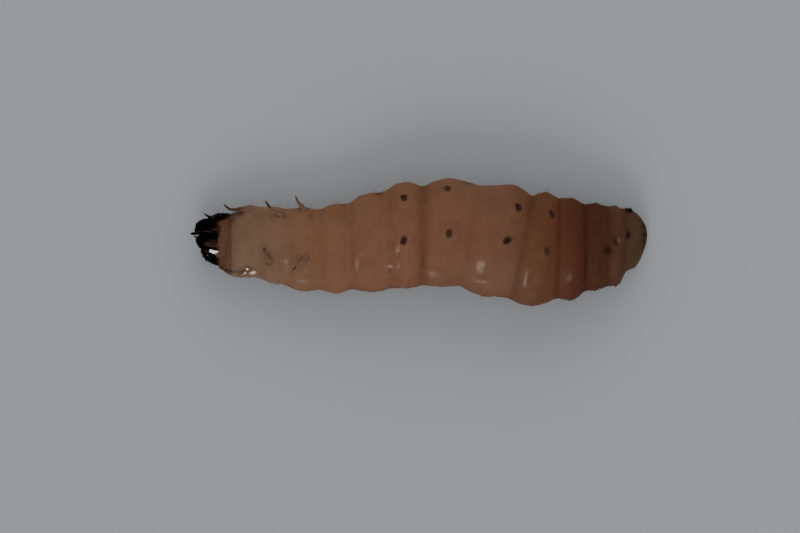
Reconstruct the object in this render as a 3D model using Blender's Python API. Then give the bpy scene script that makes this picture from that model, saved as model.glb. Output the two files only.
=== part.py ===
"""Larva of the currant clearwing moth, life size, lying on its back.

Metres, +Z up. The head points to -X, the belly is up, and the larva's left legs are on the +Y side.
The origin is the middle of the underside. Sizes below are in millimetres.
"""

import math

import bmesh
import bpy
from mathutils import Matrix, Vector

MM = 0.001

# Pieces that touch in life keep this gap. A whole segment is only about a millimetre long, so it is
# thinner than on a large part.
GAP = 0.06

# The trunk's joints, front to back: place along the body, left edge, right edge, and tilt, which is
# how far the joint runs towards the tail for each millimetre to the left.
JOINTS = [
    (-6.33, 0.96, -0.81, 0.245),
    (-5.15, 1.14, -1.20, 0.0),
    (-4.23, 1.11, -1.45, 0.0),
    (-3.22, 1.08, -1.54, 0.0),
    (-2.20, 1.35, -1.50, 0.0),
    (-0.94, 1.77, -1.48, 0.0),
    (0.12, 1.80, -1.37, 0.0),
    (1.63, 1.88, -1.39, 0.178),
    (3.35, 1.49, -1.84, 0.207),
    (4.51, 1.42, -1.82, 0.02),
    (5.40, 1.23, -1.58, 0.0),
    (6.15, 1.18, -1.42, 0.0),
    (6.70, 1.08, -1.04, 0.0),
    (7.52, 0.42, 0.10, 0.0),
]

# The segments between the joints: name, widest place, left edge and right edge there, and how high
# the back is above the floor. A negative height is the part of the back that its weight flattens.
SEGMENTS = [
    ("thorax_1", -5.71, 1.17, -1.11, 0.02),
    ("thorax_2", -4.69, 1.14, -1.38, -0.04),
    ("thorax_3", -3.77, 1.12, -1.61, -0.05),
    ("abdomen_1", -2.73, 1.24, -1.69, -0.05),
    ("abdomen_2", -1.58, 1.61, -1.63, -0.05),
    ("abdomen_3", -0.43, 1.96, -1.52, -0.05),
    ("abdomen_4", 0.88, 2.07, -1.46, -0.05),
    ("abdomen_5", 2.60, 1.86, -1.77, -0.05),
    ("abdomen_6", 3.86, 1.63, -2.12, -0.05),
    ("abdomen_7", 4.97, 1.43, -1.90, -0.05),
    ("abdomen_8", 5.72, 1.27, -1.59, -0.05),
    ("abdomen_9", 6.50, 1.16, -1.44, 0.0),
    ("abdomen_10", 6.93, 1.07, -0.87, 0.08),
]

DEPTH = 0.87            # height of the body for each millimetre of width
BELLY_GROOVE = 0.10     # how far the belly sinks at a joint
JOINT_LIFT = 0.13       # the back's grooves above its bulges
TIP_LIFT = 0.28         # the tail's tip above the floor
SWELL = 0.8             # roundness of a segment between its joints
BOXINESS = 0.93         # 1 is an elliptic section

# How many degrees the belly's midline leans to the left, at places along the body.
ROLL = [(-6.33, 10.0), (-5.15, 18.0), (-4.2, 23.0), (5.4, 24.0), (6.9, 42.0)]

# Lobes and furrows of a segment: angle from the belly's midline, its spread, place along the segment,
# its spread, and height.
LOBES = [
    (50.0, 12.0, 0.50, 0.20, 0.055),
    (88.0, 14.0, 0.50, 0.24, 0.060),
    (69.0, 6.0, 0.50, 0.50, -0.035),
    (0.0, 9.0, 0.50, 0.60, -0.030),
    (112.0, 7.0, 0.50, 0.50, -0.025),
]
BACK_FOLDS = (0.38, 0.68)   # places of the two folds across each segment's back
BACK_FOLD_DEPTH = 0.05
BACK_FOLD_SPREAD = 0.045
BACK_FROM = 100.0           # degrees from the belly's midline where the back begins
BELLY_FOLD = 0.80           # place of the fold behind the prolegs
BELLY_FOLD_DEPTH = 0.03

RINGS = (0.0, 0.03, 0.10, 0.20, 0.30, 0.38, 0.46, 0.57, 0.68, 0.76, 0.88, 0.97, 1.0)
AROUND = 32

# The head, in its own directions: forward, left and belly side.
HEAD_YAW = 12.0
HEAD_ROLL = 8.0
HEAD_AT = (-6.33, 0.075, 0.98)
HEAD_HALF_WIDTH = 0.885
HEAD_DOME = 1.08            # length of the dome from the neck, were it not cut for the jaws
HEAD_FRONT = 0.74
HEAD_ROUND = 0.92
CROWN_POWER = 4             # 2 is an ellipse, more is a flatter crown
HEAD_BELLY_DEPTH = 0.70
HEAD_BACK_DEPTH = 0.80
TROUGH_DEPTH = 0.22         # the hollow under the head that holds the lower mouthparts
TROUGH_HALF_WIDTH = 0.33
TROUGH_FROM = 0.18
CHEEK_FROM = 0.50           # the cheeks narrow from here to the jaws
CHEEK_NARROWS = 0.12
CROWN_DROPS = 0.35          # and the crown sinks towards them
SUTURE_DEPTH = 0.05
HEAD_RINGS = 12
HEAD_AROUND = 40
HEAD_CUT_FROM = -0.10       # where the cutter of the head's shape starts

STEMMA_RADIUS = 0.05
STEMMA_SUNK = 0.022
STEMMA_SEGMENTS = (8, 5)
STEMMATA = [(0.60, 62.0), (0.66, 76.0), (0.62, 92.0), (0.52, 104.0), (0.42, 88.0), (0.48, 56.0)]

SHIELD_PLANE = 0.58         # where the shield plate is parted, as a share of the half depth
ANAL_PLANE = 0.20

# Prolegs: segment, and for the left and the right one its place along the segment and its angle from the
# belly's midline.
PROLEGS = [
    (3, (0.42, 18.0), (0.42, 28.0)),
    (4, (0.45, 26.0), (0.56, 24.0)),
    (5, (0.77, 13.0), (0.70, 23.0)),
    (6, (0.72, 13.0), (0.66, 25.0)),
]
PROLEG_RADII = (0.36, 0.34, 0.28, 0.21, 0.14)
PROLEG_HEIGHTS = (-0.28, -0.01, 0.03, 0.055, 0.07)
ANAL_PROLEGS = ((0.19, 22.0), (0.05, 31.0))
ANAL_PROLEG_RADII = (0.30, 0.28, 0.22, 0.16, 0.10)
ANAL_PROLEG_HEIGHTS = (-0.22, -0.01, 0.03, 0.055, 0.07)

# Legs: side, segment, place along it, angle from the midline, heading in degrees from straight ahead,
# outwards, length, and how far the claw bends outwards.
LEGS = [
    ("left", 1, 0.46, 43.0, -8.0, 1.30, 0.43),
    ("left", 2, 0.71, 28.0, 8.0, 0.97, 0.37),
    ("left", 3, 0.44, 43.0, 62.0, 0.76, 0.27),
    ("right", 1, 0.66, 62.0, 58.0, 0.74, 0.00),
    ("right", 2, 0.33, 41.0, -72.0, 0.84, 0.00),
    ("right", 3, 0.51, 34.0, 41.0, 0.90, 0.00),
]
# A leg's rings from its root to its claw: how far along, how high above the skin, and radius.
LEG_STEPS = [
    (0.00, -0.20, 0.150),
    (0.00, 0.00, 0.150),
    (0.02, 0.04, 0.126),
    (0.05, 0.07, 0.094),
    (0.12, 0.10, 0.088),
    (0.19, 0.12, 0.070),
    (0.23, 0.125, 0.055),
    (0.31, 0.12, 0.052),
    (0.37, 0.11, 0.040),
    (0.44, 0.10, 0.035),
    (0.51, 0.085, 0.032),
    (0.56, 0.07, 0.021),
    (0.60, 0.05, 0.006),
]
LEG_REACH = LEG_STEPS[-1][0]
LEG_HOOKED = 3.2

# Antennae: side, root's place and angle on the head, direction in the head's own, and length.
ANTENNAE = [
    ("left", 0.68, 72.0, (0.90, 0.36, 0.10), 0.36),
    ("right", 0.60, -62.0, (0.80, 0.42, -0.20), 0.24),
]
# Share of an antenna's length, and radius there.
ANTENNA_STEPS = [
    (-0.35, 0.052), (0.0, 0.052), (0.22, 0.045), (0.30, 0.031), (0.60, 0.026), (0.80, 0.012), (1.0, 0.004),
]

# Rings of the mouthparts in the head's own directions: forward, left, belly, half width, half depth.
JAW_GAP = HEAD_FRONT + GAP
LABRUM = [
    (JAW_GAP, 0.0, -0.37, 0.30, 0.09),
    (JAW_GAP + 0.12, 0.0, -0.35, 0.27, 0.075),
    (JAW_GAP + 0.19, 0.0, -0.33, 0.19, 0.035),
]
LABIUM = [
    (0.28, 0.0, 0.555, 0.07, 0.06),
    (0.34, 0.0, 0.555, 0.10, 0.08),
    (0.60, 0.0, 0.480, 0.10, 0.08),
    (0.80, 0.0, 0.390, 0.09, 0.08),
    (0.98, -0.025, 0.310, 0.060, 0.056),
    (1.08, -0.045, 0.275, 0.052, 0.046),
    (1.15, -0.060, 0.258, 0.040, 0.036),
    (1.19, -0.065, 0.250, 0.016, 0.016),
]
MANDIBLE_LEFT = [
    (JAW_GAP, 0.300, -0.06, 0.270, 0.18),
    (JAW_GAP + 0.12, 0.275, -0.06, 0.245, 0.165),
    (JAW_GAP + 0.21, 0.248, -0.06, 0.202, 0.10),
    (JAW_GAP + 0.28, 0.210, -0.06, 0.140, 0.03),
]
MANDIBLE_RIGHT = [
    (JAW_GAP, -0.238, -0.06, 0.195, 0.18),
    (JAW_GAP + 0.07, -0.212, -0.06, 0.165, 0.16),
    (JAW_GAP + 0.13, -0.182, -0.06, 0.128, 0.10),
    (JAW_GAP + 0.18, -0.155, -0.06, 0.085, 0.03),
]
MAXILLA = [
    (0.32, 0.205, 0.530, 0.040, 0.045),
    (0.38, 0.208, 0.525, 0.048, 0.062),
    (0.62, 0.208, 0.455, 0.048, 0.062),
    (0.84, 0.195, 0.370, 0.045, 0.052),
    (0.96, 0.168, 0.320, 0.036, 0.040),
    (1.06, 0.150, 0.290, 0.014, 0.016),
]
MOUTH_SIDES = 12

BLACK = (0.012, 0.008, 0.007, 1.0)
BROWN = (0.10, 0.035, 0.015, 1.0)
FLESH = (0.36, 0.17, 0.10, 1.0)
TAIL_FLESH = (0.22, 0.09, 0.055, 1.0)
PLATE = (0.30, 0.17, 0.09, 1.0)


def cleared():
    """Takes every object out of the scene."""
    for thing in list(bpy.data.objects):
        bpy.data.objects.remove(thing, do_unlink=True)


def collection(name):
    found = bpy.data.collections.new(name)
    bpy.context.scene.collection.children.link(found)
    return found


def material(name, colour, roughness):
    made = bpy.data.materials.new(name)
    made.use_nodes = True
    shader = made.node_tree.nodes["Principled BSDF"]
    shader.inputs["Base Color"].default_value = colour
    shader.inputs["Roughness"].default_value = roughness
    shader.inputs["Metallic"].default_value = 0.0
    return made


def mixed(a, b, share):
    return a + (b - a) * share


def bell(value, middle, spread):
    return math.exp(-((value - middle) / spread) ** 2)


def powered(value, power):
    """A power that keeps the value's sign."""
    return math.copysign(abs(value) ** power, value)


def eased(value, start, end):
    """0 before start and 1 after end, with a soft change between them."""
    share = min(max((value - start) / (end - start), 0.0), 1.0)
    return share * share * (3.0 - 2.0 * share)


def joint_lift(index):
    """Height of the back at a joint, from the segments on both sides of it."""
    if index == len(JOINTS) - 1:
        return TIP_LIFT
    near = SEGMENTS[max(index - 1, 0):index + 1]
    return sum(row[4] for row in near) / len(near) + JOINT_LIFT


def joint_breadth(index):
    """Half width that a joint's depth is worked out from: that of its neighbours less the groove."""
    if index in (0, len(JOINTS) - 1):
        return (JOINTS[index][1] - JOINTS[index][2]) / 2
    near = SEGMENTS[index - 1:index + 1]
    return sum(row[2] - row[3] for row in near) / 4 - BELLY_GROOVE


def section(s):
    """The trunk's section at s: middle, half width, half depth, height, tilt, segment and share."""
    index = 0
    while index < len(SEGMENTS) - 1 and s > JOINTS[index + 1][0]:
        index += 1
    x0, left0, right0, tilt0 = JOINTS[index]
    x1, left1, right1, tilt1 = JOINTS[index + 1]
    _, belly, left, right, lift = SEGMENTS[index]
    share = min(max((s - x0) / (x1 - x0), 0.0), 1.0)
    if s < belly:
        part, joint, near_left, near_right = (s - x0) / (belly - x0), index, left0, right0
    else:
        part, joint, near_left, near_right = (x1 - s) / (x1 - belly), index + 1, left1, right1
    part = math.sin(min(max(part, 0.0), 1.0) * math.pi / 2) ** SWELL
    breadth = mixed(joint_breadth(joint), (left - right) / 2, part)
    left = mixed(near_left, left, part)
    right = mixed(near_right, right, part)
    low = mixed(joint_lift(joint), lift, part)
    half_width = (left - right) / 2
    half_depth = max(DEPTH * breadth - low / 2, 0.05)
    tilt = mixed(tilt0, tilt1, share)
    return (left + right) / 2, half_width, half_depth, low + half_depth, tilt, index, share


def roll_at(s):
    """How far the belly's midline leans to the left at s."""
    if s <= ROLL[0][0]:
        return ROLL[0][1]
    for (x0, roll0), (x1, roll1) in zip(ROLL, ROLL[1:]):
        if s < x1:
            return mixed(roll0, roll1, (s - x0) / (x1 - x0))
    return ROLL[-1][1]


def relief(angle, share):
    """How far lobes and folds raise the trunk's surface, angle being from the belly's midline."""
    away = abs((angle + 180.0) % 360.0 - 180.0)
    height = 0.0
    for middle, spread, place, reach, tall in LOBES:
        height += tall * bell(away, middle, spread) * bell(share, place, reach)
    if away > BACK_FROM:
        edge = min((away - BACK_FROM) / 15.0, 1.0)
        for place in BACK_FOLDS:
            height -= BACK_FOLD_DEPTH * edge * bell(share, place, BACK_FOLD_SPREAD)
    else:
        height -= BELLY_FOLD_DEPTH * bell(share, BELLY_FOLD, BACK_FOLD_SPREAD) * bell(away, 30.0, 30.0)
    return height * math.sin(math.pi * share) ** 0.5


def trunk(s, angle, grow=0.0):
    """A point of the trunk's surface; angle is in degrees from straight up, towards the left."""
    middle, half_width, half_depth, height, tilt, index, share = section(s)
    raised = grow
    if index < len(SEGMENTS) - 1:
        raised += relief(angle - roll_at(s), share)
    across = math.sin(math.radians(angle))
    upward = math.cos(math.radians(angle))
    y = (half_width + raised) * powered(across, BOXINESS)
    z = height + (half_depth + raised) * powered(upward, BOXINESS)
    if not grow:
        z = max(z, 0.0)
    return Vector((s + tilt * y, middle + y, z))


def normal_at(s, angle):
    """Direction out of the trunk's surface."""
    step = 0.02
    along = trunk(s + step, angle, GAP) - trunk(s - step, angle, GAP)
    around = trunk(s, angle + 1.0, GAP) - trunk(s, angle - 1.0, GAP)
    return along.cross(around).normalized()


def loft(rings):
    """A closed mesh through rings of points, in millimetres, with a flat cap on each end."""
    mesh = bmesh.new()
    loops = [[mesh.verts.new(point * MM) for point in ring] for ring in rings]
    for near, far in zip(loops, loops[1:]):
        for i in range(len(near)):
            j = (i + 1) % len(near)
            mesh.faces.new((near[i], near[j], far[j], far[i]))
    mesh.faces.new(loops[0])
    mesh.faces.new(loops[-1])
    bmesh.ops.recalc_face_normals(mesh, faces=mesh.faces)
    return mesh


def added(name, mesh, finish, into):
    """Makes the named object of a bmesh, with its sharp edges kept sharp."""
    data = bpy.data.meshes.new(name)
    mesh.to_mesh(data)
    mesh.free()
    thing = bpy.data.objects.new(name, data)
    data.materials.append(finish)
    data.shade_smooth()
    data.set_sharp_from_angle(angle=math.radians(50))
    into.objects.link(thing)
    return thing


def parted(mesh, point, normal):
    """Keeps what lies on the side that normal points to, and caps the cut."""
    cut = bmesh.ops.bisect_plane(
        mesh, geom=mesh.verts[:] + mesh.edges[:] + mesh.faces[:], plane_co=point * MM, plane_no=normal,
        clear_inner=True, dist=1e-8)
    edges = [item for item in cut["geom_cut"] if isinstance(item, bmesh.types.BMEdge)]
    bmesh.ops.holes_fill(mesh, edges=edges, sides=0)
    bmesh.ops.recalc_face_normals(mesh, faces=mesh.faces)
    return mesh


def largest(mesh):
    """Keeps the largest closed surface of a bmesh."""
    left = set(mesh.verts)
    groups = []
    while left:
        group = set()
        wave = [left.pop()]
        while wave:
            vert = wave.pop()
            group.add(vert)
            for edge in vert.link_edges:
                other = edge.other_vert(vert)
                if other in left:
                    left.remove(other)
                    wave.append(other)
        groups.append(group)
    groups.sort(key=len)
    loose = [vert for group in groups[:-1] for vert in group]
    bmesh.ops.delete(mesh, geom=loose, context="VERTS")
    return mesh


def applied(thing):
    """Applies an object's modifiers and gives the result as a bmesh; the object is removed."""
    graph = bpy.context.evaluated_depsgraph_get()
    data = bpy.data.meshes.new_from_object(thing.evaluated_get(graph))
    mesh = bmesh.new()
    mesh.from_mesh(data)
    bpy.data.objects.remove(thing, do_unlink=True)
    bpy.data.meshes.remove(data)
    return mesh


def less(name, mesh, cutter, into):
    """The mesh with the cutter's shape taken away."""
    data = bpy.data.meshes.new(name)
    mesh.to_mesh(data)
    mesh.free()
    thing = bpy.data.objects.new(name + "_whole", data)
    into.objects.link(thing)
    cut = thing.modifiers.new("cut", "BOOLEAN")
    cut.operation = "DIFFERENCE"
    cut.solver = "EXACT"
    cut.object = cutter
    return largest(applied(thing))


def fused(name, meshes, into):
    """The first mesh with all the others joined to it."""
    base = None
    rest = collection(name + "_pieces")
    for mesh in meshes:
        data = bpy.data.meshes.new(name)
        mesh.to_mesh(data)
        mesh.free()
        thing = bpy.data.objects.new(name + "_piece", data)
        if base is None:
            base = thing
            into.objects.link(thing)
        else:
            rest.objects.link(thing)
    union = base.modifiers.new("union", "BOOLEAN")
    union.operation = "UNION"
    union.solver = "EXACT"
    union.operand_type = "COLLECTION"
    union.collection = rest
    mesh = applied(base)
    for thing in list(rest.objects):
        bpy.data.objects.remove(thing, do_unlink=True)
    bpy.data.collections.remove(rest)
    return largest(mesh)


def tube(name, points, radii, into):
    """A round limb through points, each with its own radius, as a closed bmesh."""
    curve = bpy.data.curves.new(name + "_curve", "CURVE")
    curve.dimensions = "3D"
    curve.bevel_depth = MM
    curve.bevel_resolution = 3
    curve.use_fill_caps = True
    spline = curve.splines.new("POLY")
    spline.points.add(len(points) - 1)
    for spot, point, radius in zip(spline.points, points, radii):
        spot.co = (*(point * MM), 1.0)
        spot.radius = radius
    thing = bpy.data.objects.new(name + "_curve", curve)
    into.objects.link(thing)
    mesh = applied(thing)
    bmesh.ops.remove_doubles(mesh, verts=mesh.verts, dist=1e-7)
    bmesh.ops.recalc_face_normals(mesh, faces=mesh.faces)
    bpy.data.curves.remove(curve)
    return mesh


def segment_mesh(index):
    """One segment of the trunk, from joint to joint less half a gap at each end."""
    start = JOINTS[index][0] + GAP / 2
    end = JOINTS[index + 1][0]
    if index < len(SEGMENTS) - 1:
        end -= GAP / 2
    rings = []
    for share in RINGS:
        s = mixed(start, end, share)
        rings.append([trunk(s, 360.0 * step / AROUND) for step in range(AROUND)])
    return loft(rings)


def trunk_cutter(into):
    """The trunk grown by the gap, which the limbs are cut with."""
    rings = []
    for index in range(len(SEGMENTS)):
        for share in RINGS[:-1]:
            s = mixed(JOINTS[index][0], JOINTS[index + 1][0], share)
            rings.append([trunk(s, 360.0 * step / AROUND, GAP) for step in range(AROUND)])
    thing = added("trunk_cutter", loft(rings), material("cutter", FLESH, 1.0), into)
    thing.hide_render = True
    thing.display_type = "WIRE"
    return thing


def dorsal(s):
    """Direction of the back at s."""
    roll = math.radians(roll_at(s))
    return Vector((0.0, -math.sin(roll), -math.cos(roll)))


def plated(index, plate_name, plane_share, flesh, plate, into):
    """A segment parted by one thin cut into its flesh and the plate on its back."""
    name, belly = SEGMENTS[index][:2]
    middle, _, half_depth, height, *_ = section(belly)
    back = dorsal(belly)
    point = Vector((belly, middle, height)) + back * half_depth * plane_share
    added(name, parted(segment_mesh(index), point - back * GAP / 2, -back), flesh, into)
    added(plate_name, parted(segment_mesh(index), point + back * GAP / 2, back), plate, into)


def head_frame():
    """Carries the head's own directions, in millimetres, to the body's."""
    yaw = Matrix.Rotation(math.radians(180.0 - HEAD_YAW), 4, "Z")
    flip = Matrix.Diagonal((1.0, -1.0, 1.0, 1.0))
    roll = Matrix.Rotation(math.radians(HEAD_ROLL), 4, "X")
    return Matrix.Translation(Vector(HEAD_AT)) @ yaw @ flip @ roll.inverted()


def head_point(forward, angle, grow=0.0):
    """A point of the head capsule; angle is in degrees from the belly side, towards the left."""
    share = min(abs(forward) / HEAD_DOME, 1.0)
    narrowing = eased(forward, CHEEK_FROM, HEAD_FRONT)
    round_off = math.sqrt(1.0 - share ** 2) ** HEAD_ROUND * (1.0 - CHEEK_NARROWS * narrowing)
    crown_off = math.sqrt(1.0 - share ** CROWN_POWER) ** HEAD_ROUND * (1.0 - CROWN_DROPS * narrowing)
    across = math.sin(math.radians(angle))
    upward = math.cos(math.radians(angle))
    depth = HEAD_BELLY_DEPTH if upward > 0 else HEAD_BACK_DEPTH
    left = (HEAD_HALF_WIDTH * round_off + grow) * powered(across, 0.95)
    belly = (depth * crown_off + grow) * upward
    edge = min(max((TROUGH_HALF_WIDTH + 0.10 - abs(left)) / 0.12, 0.0), 1.0)
    if upward > 0:
        belly -= TROUGH_DEPTH * edge * min(max((forward - TROUGH_FROM) / 0.08, 0.0), 1.0)
    else:
        belly += SUTURE_DEPTH * bell(left, 0.0, 0.06)
    return Vector((forward, left, belly))


def head_mesh(start, grow=0.0):
    """The capsule's closed shape from start to the jaws, in millimetres of the head's own directions."""
    rings = []
    for step in range(HEAD_RINGS + 1):
        forward = mixed(start, HEAD_FRONT + grow, math.sin(math.pi / 2 * step / HEAD_RINGS))
        rings.append([head_point(forward, 360.0 * i / HEAD_AROUND, grow) for i in range(HEAD_AROUND)])
    return loft(rings)


def make_head(finish, into, cutters):
    """The capsule with its simple eyes fused on, and a cutter of the same shape."""
    pieces = [head_mesh(GAP / 2)]
    for side in (1, -1):
        for forward, angle in STEMMATA:
            at = head_point(forward, side * angle, -STEMMA_SUNK)
            dome = bmesh.new()
            bmesh.ops.create_uvsphere(
                dome, u_segments=STEMMA_SEGMENTS[0], v_segments=STEMMA_SEGMENTS[1],
                radius=STEMMA_RADIUS * MM, matrix=Matrix.Translation(at * MM))
            pieces.append(dome)
    capsule = fused("head", pieces, into)
    to_body = in_metres(head_frame())
    capsule.transform(to_body)
    bmesh.ops.recalc_face_normals(capsule, faces=capsule.faces)
    added("head", capsule, finish, into)
    grown = head_mesh(HEAD_CUT_FROM, GAP)
    grown.transform(to_body)
    bmesh.ops.recalc_face_normals(grown, faces=grown.faces)
    cutter = added("head_cutter", grown, finish, cutters)
    cutter.hide_render = True
    cutter.display_type = "WIRE"
    return cutter


def in_metres(frame):
    """The same turn and mirror, with its shift in metres."""
    moved = frame.copy()
    moved.translation = frame.translation * MM
    return moved


def box_loft(stations):
    """Rounded-box rings, in the head's directions: forward, left, belly, half width, half depth."""
    rings = []
    for forward, left, belly, half_width, half_depth in stations:
        ring = []
        for i in range(MOUTH_SIDES):
            angle = 2 * math.pi * i / MOUTH_SIDES
            y = left + half_width * powered(math.sin(angle), 0.7)
            z = belly + half_depth * powered(math.cos(angle), 0.7)
            ring.append(Vector((forward, y, z)))
        rings.append(ring)
    return loft(rings)


def mirrored(stations):
    """The stations of the right side's twin."""
    return [(forward, -left, *rest) for forward, left, *rest in stations]


def make_mouth(finish, into):
    """Jaws, upper lip, and the lower lip with a maxilla on each side, in front of and under the head."""
    to_body = in_metres(head_frame())
    shapes = {
        "labrum": LABRUM,
        "labium": LABIUM,
        "mandible_left": MANDIBLE_LEFT,
        "mandible_right": MANDIBLE_RIGHT,
        "maxilla_left": MAXILLA,
        "maxilla_right": mirrored(MAXILLA),
    }
    for name, stations in shapes.items():
        mesh = box_loft(stations)
        mesh.transform(to_body)
        bmesh.ops.recalc_face_normals(mesh, faces=mesh.faces)
        added(name, mesh, finish, into)


def make_antennae(finish, into, cutter):
    """A short feeler on each side of the jaws."""
    frame = head_frame()
    for word, forward, angle, way, length in ANTENNAE:
        root = head_point(forward, angle)
        out = Vector(way).normalized()
        points = [frame @ (root + out * share * length) for share, _ in ANTENNA_STEPS]
        name = "antenna_" + word
        mesh = tube(name, points, [radius for _, radius in ANTENNA_STEPS], into)
        added(name, less(name, mesh, cutter, into), finish, into)


def make_limb(name, s, angle, heights, radii, finish, into, cutter):
    """A proleg: a short cone that stands on the trunk's surface."""
    root = trunk(s, angle, GAP)
    axis = normal_at(s, angle)
    mesh = tube(name, [root + axis * height for height in heights], radii, into)
    added(name, less(name, mesh, cutter, into), finish, into)


def make_legs(finish, into, cutter):
    """Six jointed legs: coxa, femur, tibia, tarsus and claw."""
    for word, number, place, spread, heading, length, bend in LEGS:
        side = 1 if word == "left" else -1
        s = mixed(JOINTS[number - 1][0], JOINTS[number][0], place)
        angle = roll_at(s) + side * spread
        root = trunk(s, angle, GAP)
        out = normal_at(s, angle)
        turn = math.radians(heading)
        way = Vector((-math.cos(turn), side * math.sin(turn), 0.0))
        way = (way - out * way.dot(out)).normalized()
        aside = Vector((0.0, side, 0.0))
        points = []
        for along, height, _ in LEG_STEPS:
            bent = aside * bend * (along / LEG_REACH) ** LEG_HOOKED
            points.append(root + way * along * length + bent + out * height)
        name = f"leg_{word}_{number}"
        mesh = tube(name, points, [step[2] for step in LEG_STEPS], into)
        added(name, less(name, mesh, cutter, into), finish, into)


def make_prolegs(flesh, tail_flesh, into, cutter):
    """Four pairs of prolegs under the middle of the body, and one pair under its end."""
    for number, *pair in PROLEGS:
        for side, word, (place, spread) in zip((1, -1), ("left", "right"), pair):
            s = mixed(JOINTS[number + 2][0], JOINTS[number + 3][0], place)
            make_limb(f"proleg_{word}_{number}", s, roll_at(s) + side * spread,
                      PROLEG_HEIGHTS, PROLEG_RADII, flesh, into, cutter)
    for side, word, (place, spread) in zip((1, -1), ("left", "right"), ANAL_PROLEGS):
        s = mixed(JOINTS[-2][0], JOINTS[-1][0], place)
        make_limb(f"anal_proleg_{word}", s, roll_at(s) + side * spread,
                  ANAL_PROLEG_HEIGHTS, ANAL_PROLEG_RADII, tail_flesh, into, cutter)


def centred(things):
    """Moves the whole larva so that the origin is the middle of its underside."""
    points = [corner.co for thing in things for corner in thing.data.vertices]
    low = [min(point[i] for point in points) for i in range(3)]
    high = [max(point[i] for point in points) for i in range(3)]
    shift = Matrix.Translation((-(low[0] + high[0]) / 2, -(low[1] + high[1]) / 2, -low[2]))
    for thing in things:
        thing.data.transform(shift)
    return shift.translation


def main():
    cleared()
    larva = collection("currant_clearwing_larva")
    cutters = collection("cutters")
    flesh = material("flesh", FLESH, 0.35)
    tail_flesh = material("tail_flesh", TAIL_FLESH, 0.35)
    shell = material("head_shell", BLACK, 0.2)
    horn = material("horn", BROWN, 0.3)
    plate = material("plate", PLATE, 0.35)
    cutter = trunk_cutter(cutters)
    head_cutter = make_head(shell, larva, cutters)
    make_mouth(shell, larva)
    make_antennae(horn, larva, head_cutter)
    plated(0, "prothoracic_shield", SHIELD_PLANE, flesh, plate, larva)
    for index in range(1, len(SEGMENTS) - 1):
        finish = flesh if index < 10 else tail_flesh
        added(SEGMENTS[index][0], segment_mesh(index), finish, larva)
    plated(len(SEGMENTS) - 1, "anal_shield", ANAL_PLANE, tail_flesh, plate, larva)
    make_legs(horn, larva, cutter)
    make_prolegs(flesh, tail_flesh, larva, cutter)
    shift = centred(list(larva.objects))
    print("shifted by", [round(value / MM, 4) for value in shift])


main()
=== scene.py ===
import functools
import math
import random

import bmesh
import bpy
from mathutils import Matrix, Vector, noise


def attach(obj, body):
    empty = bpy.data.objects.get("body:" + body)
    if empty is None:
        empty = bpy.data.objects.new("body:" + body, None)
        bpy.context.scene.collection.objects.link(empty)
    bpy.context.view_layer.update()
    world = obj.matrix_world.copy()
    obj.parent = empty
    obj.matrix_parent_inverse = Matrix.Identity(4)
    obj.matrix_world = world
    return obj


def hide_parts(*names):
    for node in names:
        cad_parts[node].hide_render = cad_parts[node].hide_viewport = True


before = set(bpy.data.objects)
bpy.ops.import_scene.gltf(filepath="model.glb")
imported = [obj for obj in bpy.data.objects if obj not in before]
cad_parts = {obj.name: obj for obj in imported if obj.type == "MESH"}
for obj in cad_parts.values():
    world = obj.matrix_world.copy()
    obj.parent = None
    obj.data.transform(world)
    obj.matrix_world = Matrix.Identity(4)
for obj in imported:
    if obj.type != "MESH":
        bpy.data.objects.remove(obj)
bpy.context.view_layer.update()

# Larva of the currant clearwing moth, life size, lying on its back. The head points to -X, the belly
# is up and the larva's left side is +Y. Sizes are in millimetres until a piece is placed.

MM = 0.001
CENTRED = Vector((-0.0083, 0.0107, 0.0))    # from the body's own directions to the frame's origin
TO_METRES = Matrix.Scale(MM, 4) @ Matrix.Translation(CENTRED)
BODY = "root"
SIDES = {"left": 1, "right": -1}
WELD = 2e-5             # points nearer than this are one

# The trunk's joints, front to back: place, left edge, right edge, and tilt.
JOINTS = [
    (-6.33, 0.96, -0.81, 0.245),
    (-5.15, 1.14, -1.20, 0.0),
    (-4.23, 1.11, -1.45, 0.0),
    (-3.22, 1.08, -1.54, 0.0),
    (-2.20, 1.35, -1.50, 0.0),
    (-0.94, 1.77, -1.48, 0.0),
    (0.12, 1.80, -1.37, 0.0),
    (1.63, 1.88, -1.39, 0.178),
    (3.35, 1.49, -1.84, 0.207),
    (4.51, 1.42, -1.82, 0.02),
    (5.40, 1.23, -1.58, 0.0),
    (6.15, 1.18, -1.42, 0.0),
    (6.70, 1.08, -1.04, 0.0),
    (7.52, 0.42, 0.10, 0.0),
]

# The segments between the joints: name, widest place, left edge and right edge there, height of back.
SEGMENTS = [
    ("thorax_1", -5.71, 1.17, -1.11, 0.02),
    ("thorax_2", -4.69, 1.14, -1.38, -0.04),
    ("thorax_3", -3.77, 1.12, -1.61, -0.05),
    ("abdomen_1", -2.73, 1.24, -1.69, -0.05),
    ("abdomen_2", -1.58, 1.61, -1.63, -0.05),
    ("abdomen_3", -0.43, 1.96, -1.52, -0.05),
    ("abdomen_4", 0.88, 2.07, -1.46, -0.05),
    ("abdomen_5", 2.60, 1.86, -1.77, -0.05),
    ("abdomen_6", 3.86, 1.63, -2.12, -0.05),
    ("abdomen_7", 4.97, 1.43, -1.90, -0.05),
    ("abdomen_8", 5.72, 1.27, -1.59, -0.05),
    ("abdomen_9", 6.50, 1.16, -1.44, 0.0),
    ("abdomen_10", 6.93, 1.07, -0.87, 0.08),
]
FRONT = JOINTS[0][0]
END = JOINTS[-1][0]

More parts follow.
